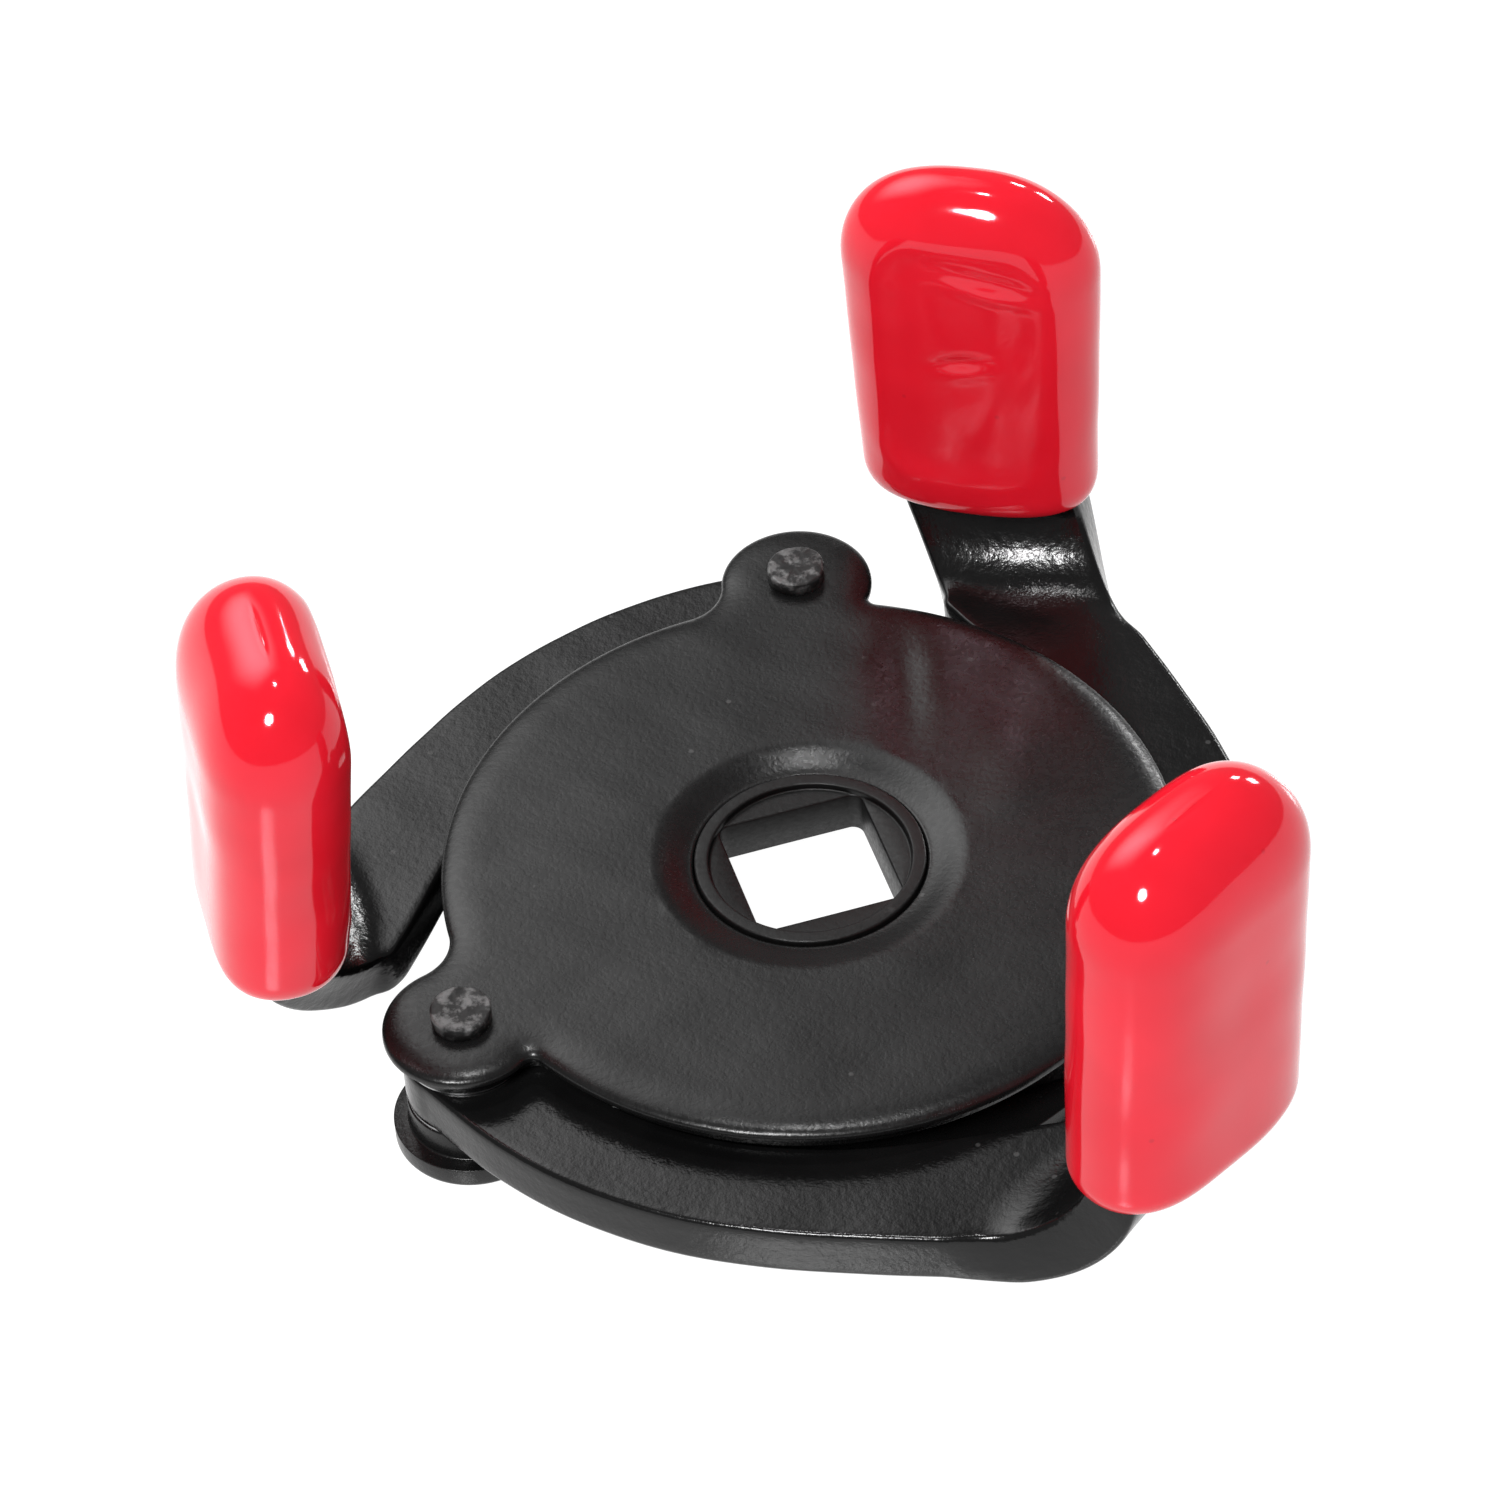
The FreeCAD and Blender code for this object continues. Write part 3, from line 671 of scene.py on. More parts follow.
def blank_edge(boss_turn, crescent, sides, narrowing):
    """One edge of the flat strip before it is bent: round the boss, along the crescent and up
    the bend as one smooth curve, then up the tab, whose corner draws in as share^4. Points are
    given along and across the way that the tab looks."""
    pivot = np.array([PIVOT_RADIUS, 0.0])
    boss = pivot + BOSS_RADIUS * angle_vectors(np.linspace(-90, boss_turn, 26))
    steps = BEND_START + BEND_LENGTH * np.linspace(0, 1, len(sides))
    straight_end = steps[-1] + STRAIGHT
    tab_end = BEND_START + BEND_LENGTH + TAB_FROM_BEND
    guide = [boss[-1]] + [r * angle_vectors(a) for r, a in crescent]
    guide += list(tab_plan(steps, sides)) + [tab_plan(straight_end, sides[-1])]
    drawn_in = narrowing * np.linspace(0, 1, 11) ** 4
    tab = tab_plan(np.linspace(straight_end, tab_end, 12)[1:], sides[-1] + drawn_in)
    edge = np.vstack([boss[:-1], smooth_through(guide, 170), tab])
    return edge @ np.stack([OUTWARD, SIDEWAYS], axis=1)


# %% Bend the blank
def bent(along, across, through):
    """Bends the flat strip: past the bend's start the distance along becomes an angle, distance
    / radius, up to a quarter turn, and beyond that it becomes height."""
    turn = np.clip((along - BEND_START) / BEND_MIDDLE, 0, math.pi / 2)
    flat = np.minimum(along, BEND_START)
    upright = np.maximum(along - BEND_START - BEND_LENGTH, 0)
    outward = flat + (BEND_MIDDLE - through) * np.sin(turn)
    centre = JAW_BOTTOM + JAW_THICK / 2 + BEND_MIDDLE
    height = centre - (BEND_MIDDLE - through) * np.cos(turn) + upright
    plan = tab_plan(outward, across)
    return np.concatenate([plan, height[..., None]], axis=-1), turn


def section_shape(corner_steps=4, face_steps=16, side_steps=4):
    """A rounded rectangle as four numbers per point: place across and through the straight
    part, from -1 to 1, and the direction in which the rounding is added."""
    corners = ((1, 1), (-1, 1), (-1, -1), (1, -1))
    points = []
    for quarter in range(4):
        turn = np.radians(np.linspace(0, 90, corner_steps + 1) + 90 * quarter)
        x, y = corners[quarter]
        points += [(x, y, math.cos(a), math.sin(a)) for a in turn]
        steps = face_steps if quarter % 2 == 0 else side_steps
        next_x, next_y = corners[(quarter + 1) % 4]
        last = math.radians(90 * (quarter + 1))
        way = (math.cos(last), math.sin(last))
        shares = np.linspace(0, 1, steps + 1)[1:-1]
        points += [(x + (next_x - x) * t, y + (next_y - y) * t, *way) for t in shares]
    return np.array(points)


EDGE_ROUND = 0.42
# a strip bent one way curls the other way across: its edges stand this far from the middle
CURL = 0.55


def jaw_strip_rows():
    """Rows of the strip: at each station a rounded rectangle between the two edges, bent. The
    section curls across the bend by CURL (x / half width)^2."""
    outer = blank_edge(20, CRESCENT_OUTER, BEND_OUTER_SIDES, TAB_NARROWING)
    inner = blank_edge(-200, CRESCENT_INNER, BEND_INNER_SIDES, -TAB_NARROWING)
    middle = (outer + inner) / 2
    gap = inner - outer
    width = np.linalg.norm(gap, axis=1)
    half = width / 2
    direction = gap / np.maximum(width, 1e-6)[:, None]
    direction[0] = direction[1]
    shape = section_shape()
    edge = np.minimum(EDGE_ROUND, half * 0.98)[:, None]
    x = shape[None, :, 0] * (half[:, None] - edge) + shape[None, :, 2] * edge
    y = shape[None, :, 1] * (JAW_THICK / 2 - edge) + shape[None, :, 3] * edge
    blank = middle[:, None] + direction[:, None] * x[..., None]
    share = (blank[..., 0] - BEND_START) / BEND_LENGTH
    curl = smooth_step(share, 0, 0.3) * (1 - smooth_step(share, 0.75, 1.1))
    y = y - CURL * curl * (x / half.max()) ** 2
    rows, turn = bent(blank[..., 0], blank[..., 1], y)
    end = np.broadcast_to(rows[-1].mean(axis=0), rows[-1:].shape)
    marks = smooth_step(turn, 0.05, 0.6)
    marks = np.concatenate([marks, marks[-1:]])
    return np.concatenate([rows, end]), marks


# %% Forging waves, and the three strips
FORGED_WAVE = np.array([0.006, 0.006, 0.02])


def forged(rows, number):
    """The strip's faces are slightly uneven, mostly in height."""
    return rows + waves(rows, 6.0, 70 + number)[..., None] * FORGED_WAVE


strip_rows, strip_marks = jaw_strip_rows()
strips = []
for n, angle in zip((1, 2, 3), PIVOT_ANGLES):
    placed_rows = turned(forged(strip_rows, n), angle)
    strips.append(piece_from_grid("jaw_%d_strip" % n, placed_rows, marks=strip_marks))

# %% [markdown]
# The jaw's root is a toothed fan that meshes with the drive gear. It is under the cover, and
# shows only at its heel when the jaws are open, so it is a plain pair of faces with the teeth
# cut round its edge.

# %% The toothed fans
WEB_START = 119.0
FAN_END = 226.0
FAN_TEETH = [160.0, 180.0, 200.0, 220.0]
FAN_BORE = 2.55
HEEL_RADIUS = BOSS_RADIUS - 0.3
FAN_INSET = 0.05
FAN_CHAMFER = 0.1


def fan_rows(angle):
    """Bore, top, toothed edge and bottom. The edge follows the teeth between two bearings, and
    elsewhere stays inside the boss."""
    angles = np.linspace(0, 360, 1080, endpoint=False)
    edge = tooth_radius(angles, FAN_TEETH)
    fan = (angles > WEB_START) & (angles < FAN_END)
    edge = np.where(fan, edge, HEEL_RADIUS)
    top = JAW_TOP - FAN_INSET
    bottom = JAW_BOTTOM + FAN_INSET
    profile = [(FAN_BORE, bottom), (FAN_BORE, top), (edge - FAN_CHAMFER, top), (edge, top - FAN_CHAMFER)]
    profile += [(edge, bottom + FAN_CHAMFER), (edge - FAN_CHAMFER, bottom)]
    return turned(radial_rows(profile, angles, (PIVOT_RADIUS, 0.0)), angle)


fans = []
for n, angle in zip((1, 2, 3), PIVOT_ANGLES):
    fans.append(piece_from_grid("jaw_%d_fan" % n, fan_rows(angle), ring=True))

# %% [markdown]
# ## Vinyl sleeves
# Each tab was dipped in hot vinyl, which flows into a fat rounded block: fuller at the top,
# drawn in over the tab's inner face, and lipped at its lower edge. A superellipse gives the
# plan at each height, and its two half-widths follow the block's side profiles.

# %% The sleeve's surface
FOOT_HIGH = 1.9
CROWN_POWER = 2.1
CROWN_EDGE = 0.08
FAR_OUT = 20.0
HALVINGS = 40
# each jaw's sleeve, dipped by hand: bottom, top, half width low and high, half depth low and
# high, crown's reach inwards and down, plan powers across and through, and inset at the foot
SLEEVE_SHAPE = {
    1: (12.45, 37.9, 7.9, 8.8, 4.3, 4.8, 6.6, 7.1, 3.9, 2.05, 0.95),
    2: (11.9, 39.0, 8.35, 8.25, 4.6, 4.85, 6.4, 6.5, 3.1, 2.15, 1.55),
    3: (12.65, 38.45, 7.85, 8.75, 4.25, 4.1, 7.9, 7.1, 2.9, 2.05, 0.85)}
# its middle along and across the tab's direction, the lean of each, and its turn in degrees
SLEEVE_PLACE = {
    1: (33.12, -3.2, -1.8, 1.2, 1.6),
    2: (33.74, -3.4, -0.3, 0.9, 1.6),
    3: (33.62, -4.05, 0.0, 0.5, 0.9)}


def rounding(share, power=2.0):
    """How much of a rounding is drawn in at a share of its height: 1 - (1 - s^p)^(1/p)."""
    return 1 - np.maximum(1 - share**power, 0) ** (1 / power)


def side_profile(height, crown_high):
    """Heights from foot to crown, closer together where the block is rounded off, with the
    share that the foot's and the crown's rounding have drawn in at each."""
    foot = FOOT_HIGH * (1 - np.cos(np.linspace(0, math.pi / 2, 10)))
    crown = height - crown_high * (1 - np.sin(np.linspace(0, math.pi / 2, 30)))
    body = np.linspace(FOOT_HIGH, height - crown_high, 64)
    heights = np.concatenate([foot[:-1], body, crown[1:]])
    foot_in = rounding(np.clip(1 - heights / FOOT_HIGH, 0, 1))
    crown_in = rounding(np.clip((heights - height + crown_high) / crown_high, 0, 1), CROWN_POWER)
    return heights, foot_in, crown_in


def superellipse(half_x, half_y, power_x, power_y, count=144):
    """Points where |x / a|^p + |y / b|^q = 1. Along each direction the distance is found by
    halving: the sum grows with distance, so it is kept between a value below 1 and one above."""
    turn = np.linspace(0, 2 * math.pi, count, endpoint=False)
    direction = np.stack([1.7 * np.cos(turn), np.sin(turn)], axis=-1)
    direction /= np.linalg.norm(direction, axis=1)[:, None]
    half_x, half_y, power_x, power_y = (v[:, None] for v in (half_x, half_y, power_x, power_y))
    low = np.zeros((len(half_x), count))
    high = np.full((len(half_x), count), FAR_OUT)
    for _ in range(HALVINGS):
        middle = (low + high) / 2
        total = np.abs(middle * direction[:, 0] / half_x) ** power_x
        total = total + np.abs(middle * direction[:, 1] / half_y) ** power_y
        low = np.where(total < 1, middle, low)
        high = np.where(total < 1, high, middle)
    return middle[..., None] * direction


# %% The sleeve as a block
def sleeve_block(number):
    """Local points: x across the tab, y outwards from the hub, z up. Each half-width goes
    evenly from its low to its high value, less what foot and crown draw in."""
    low, high, wide_low, wide_high, deep_low, deep_high, reach, crown_high, across, through, inset = (
        SLEEVE_SHAPE[number])
    heights, foot_in, crown_in = side_profile(high - low, crown_high)
    share = heights / heights[-1]
    wide = wide_low + (wide_high - wide_low) * share - inset * foot_in - reach * crown_in
    deep = deep_low + (deep_high - deep_low) * share - inset * foot_in
    deep = deep - (deep_high - CROWN_EDGE) * crown_in
    plan = superellipse(wide, deep, across - 0.6 * crown_in, through - 0.05 * crown_in)
    height = np.broadcast_to(heights[:, None], plan.shape[:2])
    return np.concatenate([plan, height[..., None]], axis=-1)


# %% [markdown]
# The face that grips the filter is a shallow sunk panel with a soft ridge round it. A few folds
# cross it where the vinyl sagged before it set.

# %% Panel, ridge and folds
def ridge(x, z, cx, cz, length, width, tilt):
    """A long soft bump: a bell across it and a wider bell along it, tilted in degrees."""
    c = math.cos(math.radians(tilt))
    s = math.sin(math.radians(tilt))
    along = (x - cx) * c + (z - cz) * s
    off = (z - cz) * c - (x - cx) * s
    return np.exp(-(along / length) ** 2 - (off / width) ** 2)


# each fold: place across, height, half length, half width, tilt and depth
FOLDS = {
    1: ((1.5, 19.0, 2.6, 0.6, 6, -0.07), (-2.0, 11.0, 2.2, 0.8, -8, -0.08)),
    2: ((-1.0, 18.6, 3.0, 0.6, -5, -0.07), (2.2, 9.5, 2.0, 0.8, 10, -0.08)),
    3: ((-2.2, 20.3, 2.6, 0.42, 12, -0.17), (-2.0, 19.2, 2.5, 0.40, 12, 0.16),
        (0.2, 13.4, 1.5, 0.45, -12, -0.20), (-0.5, 12.5, 1.6, 0.55, -16, 0.10),
        (1.6, 9.5, 3.0, 3.0, 0, 0.10), (-3.6, 13.0, 0.9, 5.5, 0, -0.10)),
}
PANEL_HALF = 5.3
PANEL_LOW = 3.6
PANEL_HIGH = 22.2
PANEL_CORNER = 2.6
PANEL_DEEP = 0.34
RIDGE_PROUD = 0.12
OUTSIDE_HOLLOW = 0.22
VINYL_WAVE = 0.04
MIDDLE_HIGH = 12.0
CROWN_RISE = 0.02


def edge_distance(x, z):
    """How far a point of the face lies inside the panel, as a rounded rectangle: negative
    outside it, and growing towards its middle."""
    half_high = (PANEL_HIGH - PANEL_LOW) / 2
    dx = np.abs(x) - (PANEL_HALF - PANEL_CORNER)
    dz = np.abs(z - PANEL_LOW - half_high) - (half_high - PANEL_CORNER)
    outside = np.sqrt(np.maximum(dx, 0) ** 2 + np.maximum(dz, 0) ** 2)
    return PANEL_CORNER - outside - np.minimum(np.maximum(dx, dz), 0)


# %% Pressed, closed and carried to the tab
def between(first, last, count):
    """Rows part-way from one row to another, leaving out both ends."""
    share = np.linspace(0, 1, count + 2)[1:-1, None, None]
    return first[None] * (1 - share) + last[None] * share


def pressed(rows, number):
    """Moves the block's faces in and out: towards the hub by panel, ridge and folds, on the
    outside by one wide hollow, and everywhere by faint waves away from the middle."""
    x = rows[..., 0]
    z = rows[..., 2]
    facing = smooth_step(-rows[..., 1], 0.8, 3.0)
    inside = edge_distance(x, z)
    depth_here = PANEL_DEEP * (0.35 + 0.65 * smooth_step(z, 6.0, 18.0))
    ridge_here = RIDGE_PROUD * (0.4 + 0.6 * smooth_step(x, -4.0, 3.5))
    press = -depth_here * smooth_step(inside, -1.1, 1.9)
    press = press + ridge_here * np.exp(-((inside + 0.5) / 1.1) ** 2)
    for cx, cz, length, width, tilt, depth in FOLDS[number]:
        press = press + depth * ridge(x, z, cx, cz, length, width, tilt)
    rows[..., 1] -= press * facing
    outward_side = smooth_step(rows[..., 1], 1.5, 3.6)
    rows[..., 1] -= OUTSIDE_HOLLOW * outward_side * ridge(x, z, 0.0, 11.0, 5.5, 8.0, 0)
    from_middle = rows - [0, 0, MIDDLE_HIGH]
    unit = from_middle / np.maximum(np.linalg.norm(from_middle, axis=-1, keepdims=True), 1.0)
    return rows + VINYL_WAVE * waves(rows, 8.0, 90 + number)[..., None] * unit


def closed_block(rows):
    """Adds a middle point under the foot, and rows that shrink to one on the crown."""
    foot = np.broadcast_to(np.array([0, 0, rows[0, :, 2].mean()]), rows[:1].shape)
    crown = np.broadcast_to(np.array([0, 0, rows[-1, :, 2].max() + CROWN_RISE]), rows[:1].shape)
    return np.concatenate([foot, rows, between(rows[-1], crown[0], 3), crown])


def sleeve_rows(number, angle):
    """The pressed block leaned, turned and carried to the tab. The lean is a shift that grows
    evenly with height and is nothing half-way up."""
    low, high = SLEEVE_SHAPE[number][:2]
    rows = closed_block(pressed(sleeve_block(number), number))
    along, across, lean_along, lean_across, twist = SLEEVE_PLACE[number]
    rise = rows[..., 2] / (high - low) - 0.5
    c = math.cos(math.radians(twist))
    s = math.sin(math.radians(twist))
    outward = along + lean_along * rise + rows[..., 0] * s + rows[..., 1] * c
    sideways = across + lean_across * rise + rows[..., 0] * c - rows[..., 1] * s
    placed = np.concatenate([tab_plan(outward, sideways), rows[..., 2:] + low], axis=-1)
    return turned(placed, angle)


sleeves = []
for n, angle in zip((1, 2, 3), PIVOT_ANGLES):
    sleeves.append(piece_from_grid("jaw_%d_grip" % n, sleeve_rows(n, angle)))

# %% [markdown]
# ## Finishes
# Paint on pressed steel is never smooth: it has a fine orange peel, stray specks and pits, and
# it thins at the edges. All patterns are read from Object coordinates, so they stay on the
# piece, and heights reach the shader as bump far finer than the mesh.

# %% Node helpers
def new_material(name):
    """A new material with its node tree and its Principled shader."""
    material = bpy.data.materials.new(name)
    material.use_nodes = True
    tree = material.node_tree
    shader = tree.nodes["Principled BSDF"]
    return material, tree, shader


def add_node(tree, kind, inputs=None, **settings):
    """Adds a node. An input given as another node's output is linked, any other is set."""
    node = tree.nodes.new(kind)
    for key, value in settings.items():
        setattr(node, key, value)
    for key, value in (inputs or {}).items():
        if isinstance(value, bpy.types.NodeSocket):
            tree.links.new(value, node.inputs[key])
        else:
            node.inputs[key].default_value = value
    return node


def object_coordinates(tree):
    """Places measured in the piece's own axes, in metres."""
    return add_node(tree, "ShaderNodeTexCoord").outputs["Object"]


def noise(tree, where, scale, detail=3.0, roughness=0.55):
    """Soft random patches between 0 and 1, about 1 / scale metres across."""
    inputs = {"Vector": where, "Scale": scale, "Detail": detail, "Roughness": roughness}
    return add_node(tree, "ShaderNodeTexNoise", inputs).outputs["Fac"]


def ramp(tree, value, low, high, at_low=0.0, at_high=1.0):
    """Maps value from low..high to at_low..at_high, held at the ends."""
    inputs = {"Value": value, "From Min": low, "From Max": high, "To Min": at_low, "To Max": at_high}
    return add_node(tree, "ShaderNodeMapRange", inputs).outputs["Result"]


def math_node(tree, operation, first, second):
    """One sum on two values: MULTIPLY gives first times second, SUBTRACT first less second."""
    return add_node(tree, "ShaderNodeMath", {0: first, 1: second}, operation=operation).outputs[0]


def mix_colour(tree, share, first, second):
    """The colour first (1 - share) + second share. The node's colour sockets are 6, 7 and 2."""
    inputs = {"Factor": share, 6: first, 7: second}
    return add_node(tree, "ShaderNodeMix", inputs, data_type="RGBA").outputs[2]


def bump(tree, height, strength, distance, under=None):
    """A surface direction tilted by the slope of a height times distance, in metres."""
    inputs = {"Height": height, "Strength": strength, "Distance": distance}
    if under is not None:
        inputs["Normal"] = under
    return add_node(tree, "ShaderNodeBump", inputs).outputs["Normal"]


# %% Black paint
def stray_pits(tree, where):
    """1 in the middle of about a third of a field of random cells, 0 elsewhere."""
    cells = add_node(tree, "ShaderNodeTexVoronoi", {"Vector": where, "Scale": 420.0, "Randomness": 1.0})
    random_value = add_node(tree, "ShaderNodeSeparateColor", {0: cells.outputs["Color"]}).outputs[0]
    chosen = ramp(tree, random_value, 0.62, 0.66)
    near_centre = ramp(tree, cells.outputs["Distance"], 0.05, 0.10, 1.0, 0.0)
    return math_node(tree, "MULTIPLY", near_centre, chosen)


def black_paint(name, wrinkled=False):
    """Glossy black with peel, grain and stray pits. The wrinkled kind is glossier and adds
    creases where the piece's mark is high."""
    material, tree, shader = new_material(name)
    where = object_coordinates(tree)
    peel = noise(tree, where, 2600.0, 2.0)
    grain = noise(tree, where, 7000.0, 1.0)
    cloud = noise(tree, where, 160.0, 3.0)
    pits = stray_pits(tree, where)
    normal = bump(tree, peel, 0.30, 0.00006)
    normal = bump(tree, grain, 0.20, 0.00003, normal)
    normal = bump(tree, pits, -0.5, 0.00010, normal)
    if wrinkled:
        mark = add_node(tree, "ShaderNodeAttribute", attribute_name="mark").outputs["Fac"]
        creases = noise(tree, where, 800.0, 4.0, 0.6)
        lumps = noise(tree, where, 1500.0, 2.0)
        normal = bump(tree, lumps, 0.22, 0.00008, normal)
        normal = bump(tree, math_node(tree, "MULTIPLY", creases, mark), 0.32, 0.00018, normal)
    dark = (0.0035, 0.0035, 0.0036, 1.0)
    pale = (0.0060, 0.0060, 0.0061, 1.0)
    colour = mix_colour(tree, ramp(tree, cloud, 0.35, 0.65), dark, pale)
    colour = mix_colour(tree, ramp(tree, pits, 0.2, 0.9, 0.0, 0.35), colour, (0.10, 0.10, 0.10, 1.0))
    tree.links.new(colour, shader.inputs["Base Color"])
    rough = (0.15, 0.21) if wrinkled else (0.24, 0.31)
    tree.links.new(ramp(tree, peel, 0.3, 0.7, *rough), shader.inputs["Roughness"])
    tree.links.new(normal, shader.inputs["Normal"])
    shader.inputs["Specular IOR Level"].default_value = 0.31 if wrinkled else 0.33
    return material


# %% Worn metal: rivet ends, gear and bare steel
def worn_paint(name, wear, dark=0.010, bare_tone=0.105):
    """Black paint rubbed off in patches down to dull steel."""
    material, tree, shader = new_material(name)
    where = object_coordinates(tree)
    patches = noise(tree, where, 900.0, 6.0, 0.65)
    scratches = noise(tree, where, 3400.0, 3.0)
    bare = ramp(tree, patches, 0.60 - wear, 0.66 - wear * 0.6)
    colour = mix_colour(tree, bare, (dark, dark, dark, 1.0), (bare_tone, bare_tone, bare_tone, 1.0))
    tree.links.new(colour, shader.inputs["Base Color"])
    tree.links.new(ramp(tree, bare, 0, 1, 0.05, 0.55), shader.inputs["Metallic"])
    tree.links.new(ramp(tree, scratches, 0.3, 0.7, 0.34, 0.52), shader.inputs["Roughness"])
    normal = bump(tree, patches, 0.35, 0.00012)
    tree.links.new(bump(tree, scratches, 0.25, 0.00004, normal), shader.inputs["Normal"])
    shader.inputs["Specular IOR Level"].default_value = 0.3
    return material


def oiled_steel(name):
    """Clean turned steel under a smear of oil that changes its gloss."""
    material, tree, shader = new_material(name)
    where = object_coordinates(tree)
    smear = noise(tree, where, 500.0, 4.0)
    turning = noise(tree, where, 6000.0, 2.0)
    colour = mix_colour(tree, smear, (0.34, 0.34, 0.35, 1.0), (0.50, 0.50, 0.50, 1.0))
    tree.links.new(colour, shader.inputs["Base Color"])
    tree.links.new(ramp(tree, smear, 0.3, 0.7, 0.22, 0.38), shader.inputs["Roughness"])
    tree.links.new(bump(tree, turning, 0.15, 0.00002), shader.inputs["Normal"])
    shader.inputs["Metallic"].default_value = 1.0
    return material


# %% Red vinyl
def red_vinyl(name):
    """Thick dipped vinyl: saturated red that lets a little light into its surface, under a
    skin as glossy as wet paint, with faint flow marks and a stray speck of dust."""
    material, tree, shader = new_material(name)
    where = object_coordinates(tree)
    flow = noise(tree, where, 130.0, 2.0)
    skin = noise(tree, where, 900.0, 2.0)
    cells = add_node(tree, "ShaderNodeTexVoronoi", {"Vector": where, "Scale": 260.0})
    dust = ramp(tree, cells.outputs["Distance"], 0.03, 0.055, 1.0, 0.0)
    deep_red = (0.66, 0.0085, 0.020, 1.0)
    clear_red = (0.72, 0.011, 0.025, 1.0)
    colour = mix_colour(tree, ramp(tree, flow, 0.35, 0.65), deep_red, clear_red)
    colour = mix_colour(tree, math_node(tree, "MULTIPLY", dust, 0.35), colour, (0.35, 0.01, 0.02, 1.0))
    tree.links.new(colour, shader.inputs["Base Color"])
    normal = bump(tree, flow, 0.10, 0.0004)
    tree.links.new(bump(tree, skin, 0.05, 0.00004, normal), shader.inputs["Normal"])
    tree.links.new(ramp(tree, skin, 0.3, 0.7, 0.07, 0.10), shader.inputs["Roughness"])
    shader.inputs["Specular IOR Level"].default_value = 0.44
    shader.inputs["Specular Tint"].default_value = (1.0, 0.84, 1.0, 1.0)
    shader.inputs["Subsurface Weight"].default_value = 0.15
    shader.inputs["Subsurface Radius"].default_value = (0.0012, 0.0002, 0.0002)
    shader.inputs["Subsurface Scale"].default_value = 1.0
    return material


# %% Dress the pieces
PAINT = black_paint("black_paint")
JAW_PAINT = black_paint("black_paint_jaws", wrinkled=True)
GEAR_PAINT = worn_paint("gear_black", -0.06, 0.003, 0.03)
RIVET_PAINT = worn_paint("rivet_scuffed", 0.12, 0.012, 0.13)
STEEL = oiled_steel("oiled_steel")
VINYL = red_vinyl("red_vinyl")


def dress(piece, material, body, slot, *nodes):
    """Gives a piece its finish, its body and the nodes that it stands for."""
    piece.data.materials.clear()
    piece.data.materials.append(material)
    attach(piece, body)
    if nodes:
        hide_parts(*nodes)


dress(cover, PAINT, "housing", "black_paint", "top_cover")
dress(base, PAINT, "housing", "black_paint", "bottom_plate")
dress(gear, GEAR_PAINT, "drive", "blacked_steel", "drive_gear")
for n in (1, 2, 3):
    body = "jaw_%d" % n
    dress(rivets[n - 1], RIVET_PAINT, "housing", "rivet_steel", "pivot_rivet_%d" % n)
    dress(strips[n - 1], JAW_PAINT, body, "black_paint", "jaw_arm_%d" % n)
    dress(fans[n - 1], JAW_PAINT, body, "black_paint")
    dress(sleeves[n - 1], VINYL, body, "red_vinyl", "grip_sleeve_%d" % n)
    for hidden in ("pivot_bush_%d" % n, "lower_washer_%d" % n, "upper_washer_%d" % n):
        carried = frame["nodes"][hidden]
        carried.data.materials.clear()
        carried.data.materials.append(STEEL)

# %% [markdown]
# ## Stage, light and camera
# The tool lies on a bright glossy floor. One round key lamp puts the crisp glints on the vinyl,
# three small lamps draw the bright edges, and a wide panel with soft edges fills the back left.
# The camera looks down at 46 degrees through a long lens, as a product picture is taken.

# %% Floor
FLOOR_SIZE = 6.0
FLOOR_GAP = 0.0001


def glossy_floor():
    """White acrylic, lit through from below as on a light table, and glossy enough to mirror
    the lamps into the tool's sides."""
    level = BASE_UNDERSIDE * MM - FLOOR_GAP
    bpy.ops.mesh.primitive_plane_add(size=FLOOR_SIZE, location=(0, 0, level))
    floor = bpy.context.object
    floor.name = "studio_floor"
    material, tree, shader = new_material("floor_white")
    speckle = noise(tree, object_coordinates(tree), 40.0)
    white = mix_colour(tree, speckle, (0.14, 0.14, 0.14, 1), (0.16, 0.16, 0.16, 1))
    tree.links.new(white, shader.inputs["Base Color"])
    shader.inputs["Roughness"].default_value = 0.16
    shader.inputs["Emission Color"].default_value = (1, 1, 1, 1)
    shader.inputs["Emission Strength"].default_value = 1.0
    floor.data.materials.append(material)


glossy_floor()


# %% Lights
MIDDLE = np.array([0.0, 0.0, 0.015])


def lamp(name, azimuth, elevation, distance, width, height, power, shape="RECTANGLE"):
    """A soft light that looks at the tool from a bearing and an elevation in degrees, with its
    distance and size in metres. Its own upright side stays upright."""
    light = bpy.data.lights.new(name, "AREA")
    light.shape = shape
    light.size = width
    light.size_y = height
    light.energy = power
    holder = bpy.data.objects.new(name, light)
    bpy.context.scene.collection.objects.link(holder)
    flat = angle_vectors(azimuth) * math.cos(math.radians(elevation))
    back = np.array([flat[0], flat[1], math.sin(math.radians(elevation))])
    side = np.cross([0.0, 0.0, 1.0], back)
    side /= np.linalg.norm(side)
    matrix = np.eye(4)
    matrix[:3, :3] = np.stack([side, np.cross(back, side), back], axis=1)
    matrix[:3, 3] = MIDDLE + back * distance
    holder.matrix_world = Matrix(matrix.tolist())
    holder.visible_camera = False
    return light


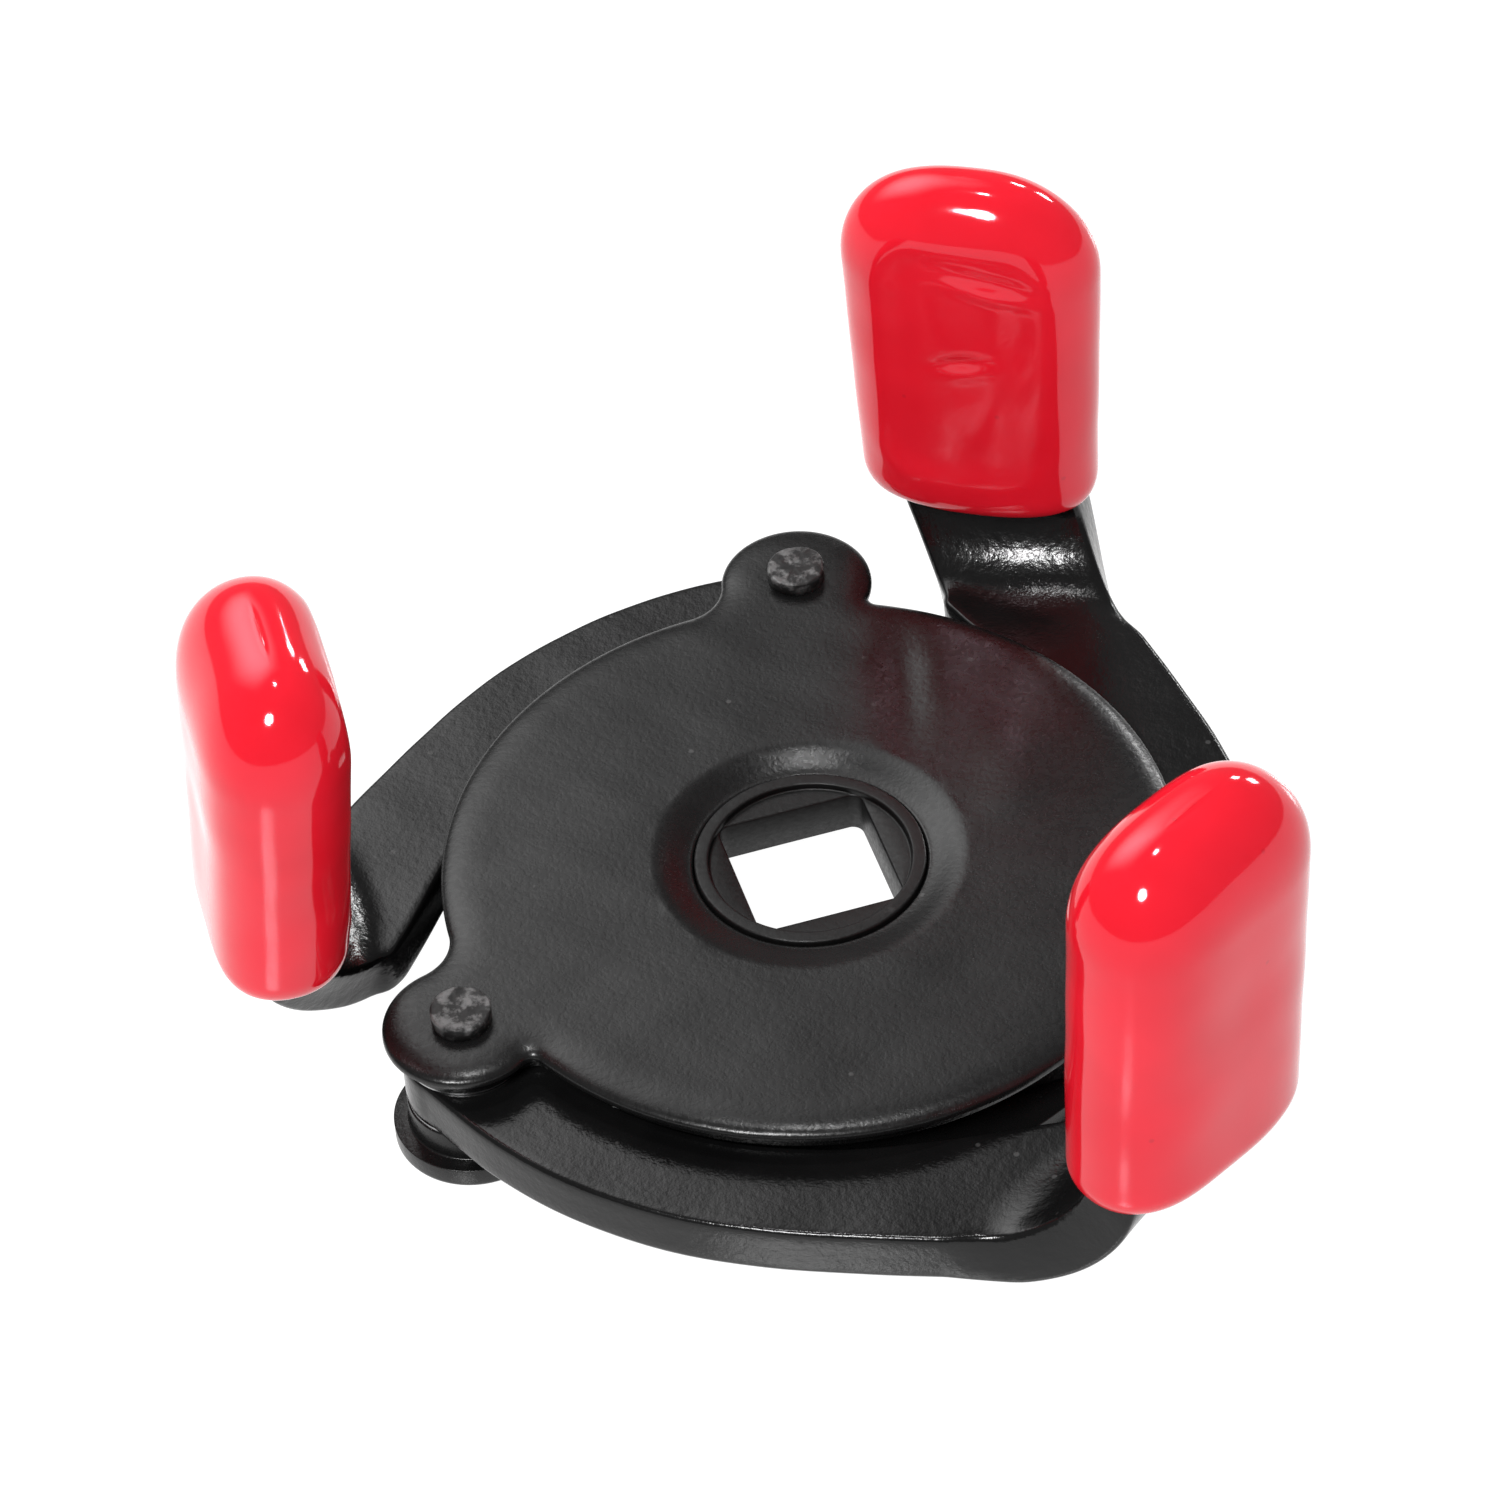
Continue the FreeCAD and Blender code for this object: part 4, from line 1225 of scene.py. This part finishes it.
def fade_edges(light):
    """Makes a lamp dim smoothly to nothing at its edges: strength is 16 u (1 - u) v (1 - v),
    squared, for places u and v across it from 0 to 1."""
    light.use_nodes = True
    tree = light.node_tree
    place = add_node(tree, "ShaderNodeNewGeometry").outputs["Parametric"]
    parts = add_node(tree, "ShaderNodeSeparateXYZ", {0: place})
    strength = None
    for name in ("X", "Y"):
        share = parts.outputs[name]
        hump = math_node(tree, "MULTIPLY", share, math_node(tree, "SUBTRACT", 1.0, share))
        strength = hump if strength is None else math_node(tree, "MULTIPLY", strength, hump)
    strength = math_node(tree, "MULTIPLY", strength, 16.0)
    squared = math_node(tree, "MULTIPLY", strength, strength)
    tree.links.new(squared, tree.nodes["Emission"].inputs["Strength"])


lamp("key", -110, 50, 1.0, 0.24, 0.24, 9.3, "DISK")
lamp("top", 100, 84, 1.0, 0.10, 0.10, 1.9, "DISK")
fade_edges(lamp("back_left_panel", 127, 46, 0.45, 0.56, 0.50, 4.0))
lamp("back_right_low", 52, 20, 0.9, 0.14, 0.12, 1.6)
lamp("back_right_high", 66, 27, 0.9, 0.10, 0.08, 1.1)

world = bpy.data.worlds.new("studio")
world.use_nodes = True
world.node_tree.nodes["Background"].inputs["Color"].default_value = (1, 1, 1, 1)
world.node_tree.nodes["Background"].inputs["Strength"].default_value = 0.22
bpy.context.scene.world = world
bpy.context.scene.view_settings.view_transform = "Standard"

# %% Camera
CAMERA_TURN = 0.33
CAMERA_ELEVATION = 46.22
CAMERA_DISTANCE = 361.0
CAMERA_ROLL = 3.30
LENS = 136.75
SENSOR = 36.0
HUB_RIGHT = 0.0401
HUB_BELOW = 0.0709


def look_matrix():
    """Camera axes from its turn, elevation and roll about the hub's top, then swung so that
    the hub falls right of and below the picture's middle by the given shares of its width."""
    turn = math.radians(CAMERA_TURN)
    rise = math.radians(CAMERA_ELEVATION)
    side = np.array([math.cos(turn), math.sin(turn), 0.0])
    level = np.array([-math.sin(turn), math.cos(turn), 0.0])
    back = -math.cos(rise) * level + math.sin(rise) * np.array([0.0, 0.0, 1.0])
    up = np.cross(back, side)
    base_axes = np.stack([side, up, back])
    c = math.cos(math.radians(CAMERA_ROLL))
    s = math.sin(math.radians(CAMERA_ROLL))
    rolled = np.array([[c, -s, 0], [s, c, 0], [0, 0, 1]])
    ray = np.array([HUB_RIGHT * SENSOR / LENS, -HUB_BELOW * SENSOR / LENS, -1.0])
    ray /= np.linalg.norm(ray)
    straight = np.array([0.0, 0.0, -1.0])
    axis = np.cross(straight, ray)
    cross = np.array([[0, -axis[2], axis[1]], [axis[2], 0, -axis[0]], [-axis[1], axis[0], 0]])
    swing = np.eye(3) + cross + cross @ cross / (1 + straight @ ray)
    to_camera = swing @ rolled @ base_axes
    place = (np.array([0.0, 0.0, HUB_TOP]) + back * CAMERA_DISTANCE) * MM
    matrix = np.eye(4)
    matrix[:3, :3] = to_camera.T
    matrix[:3, 3] = place
    return Matrix(matrix.tolist())


camera_data = bpy.data.cameras.new("camera")
camera_data.lens = LENS
camera_data.sensor_width = SENSOR
camera_data.clip_start = 0.01
camera = bpy.data.objects.new("camera", camera_data)
bpy.context.scene.collection.objects.link(camera)
camera.matrix_world = look_matrix()
bpy.context.scene.camera = camera
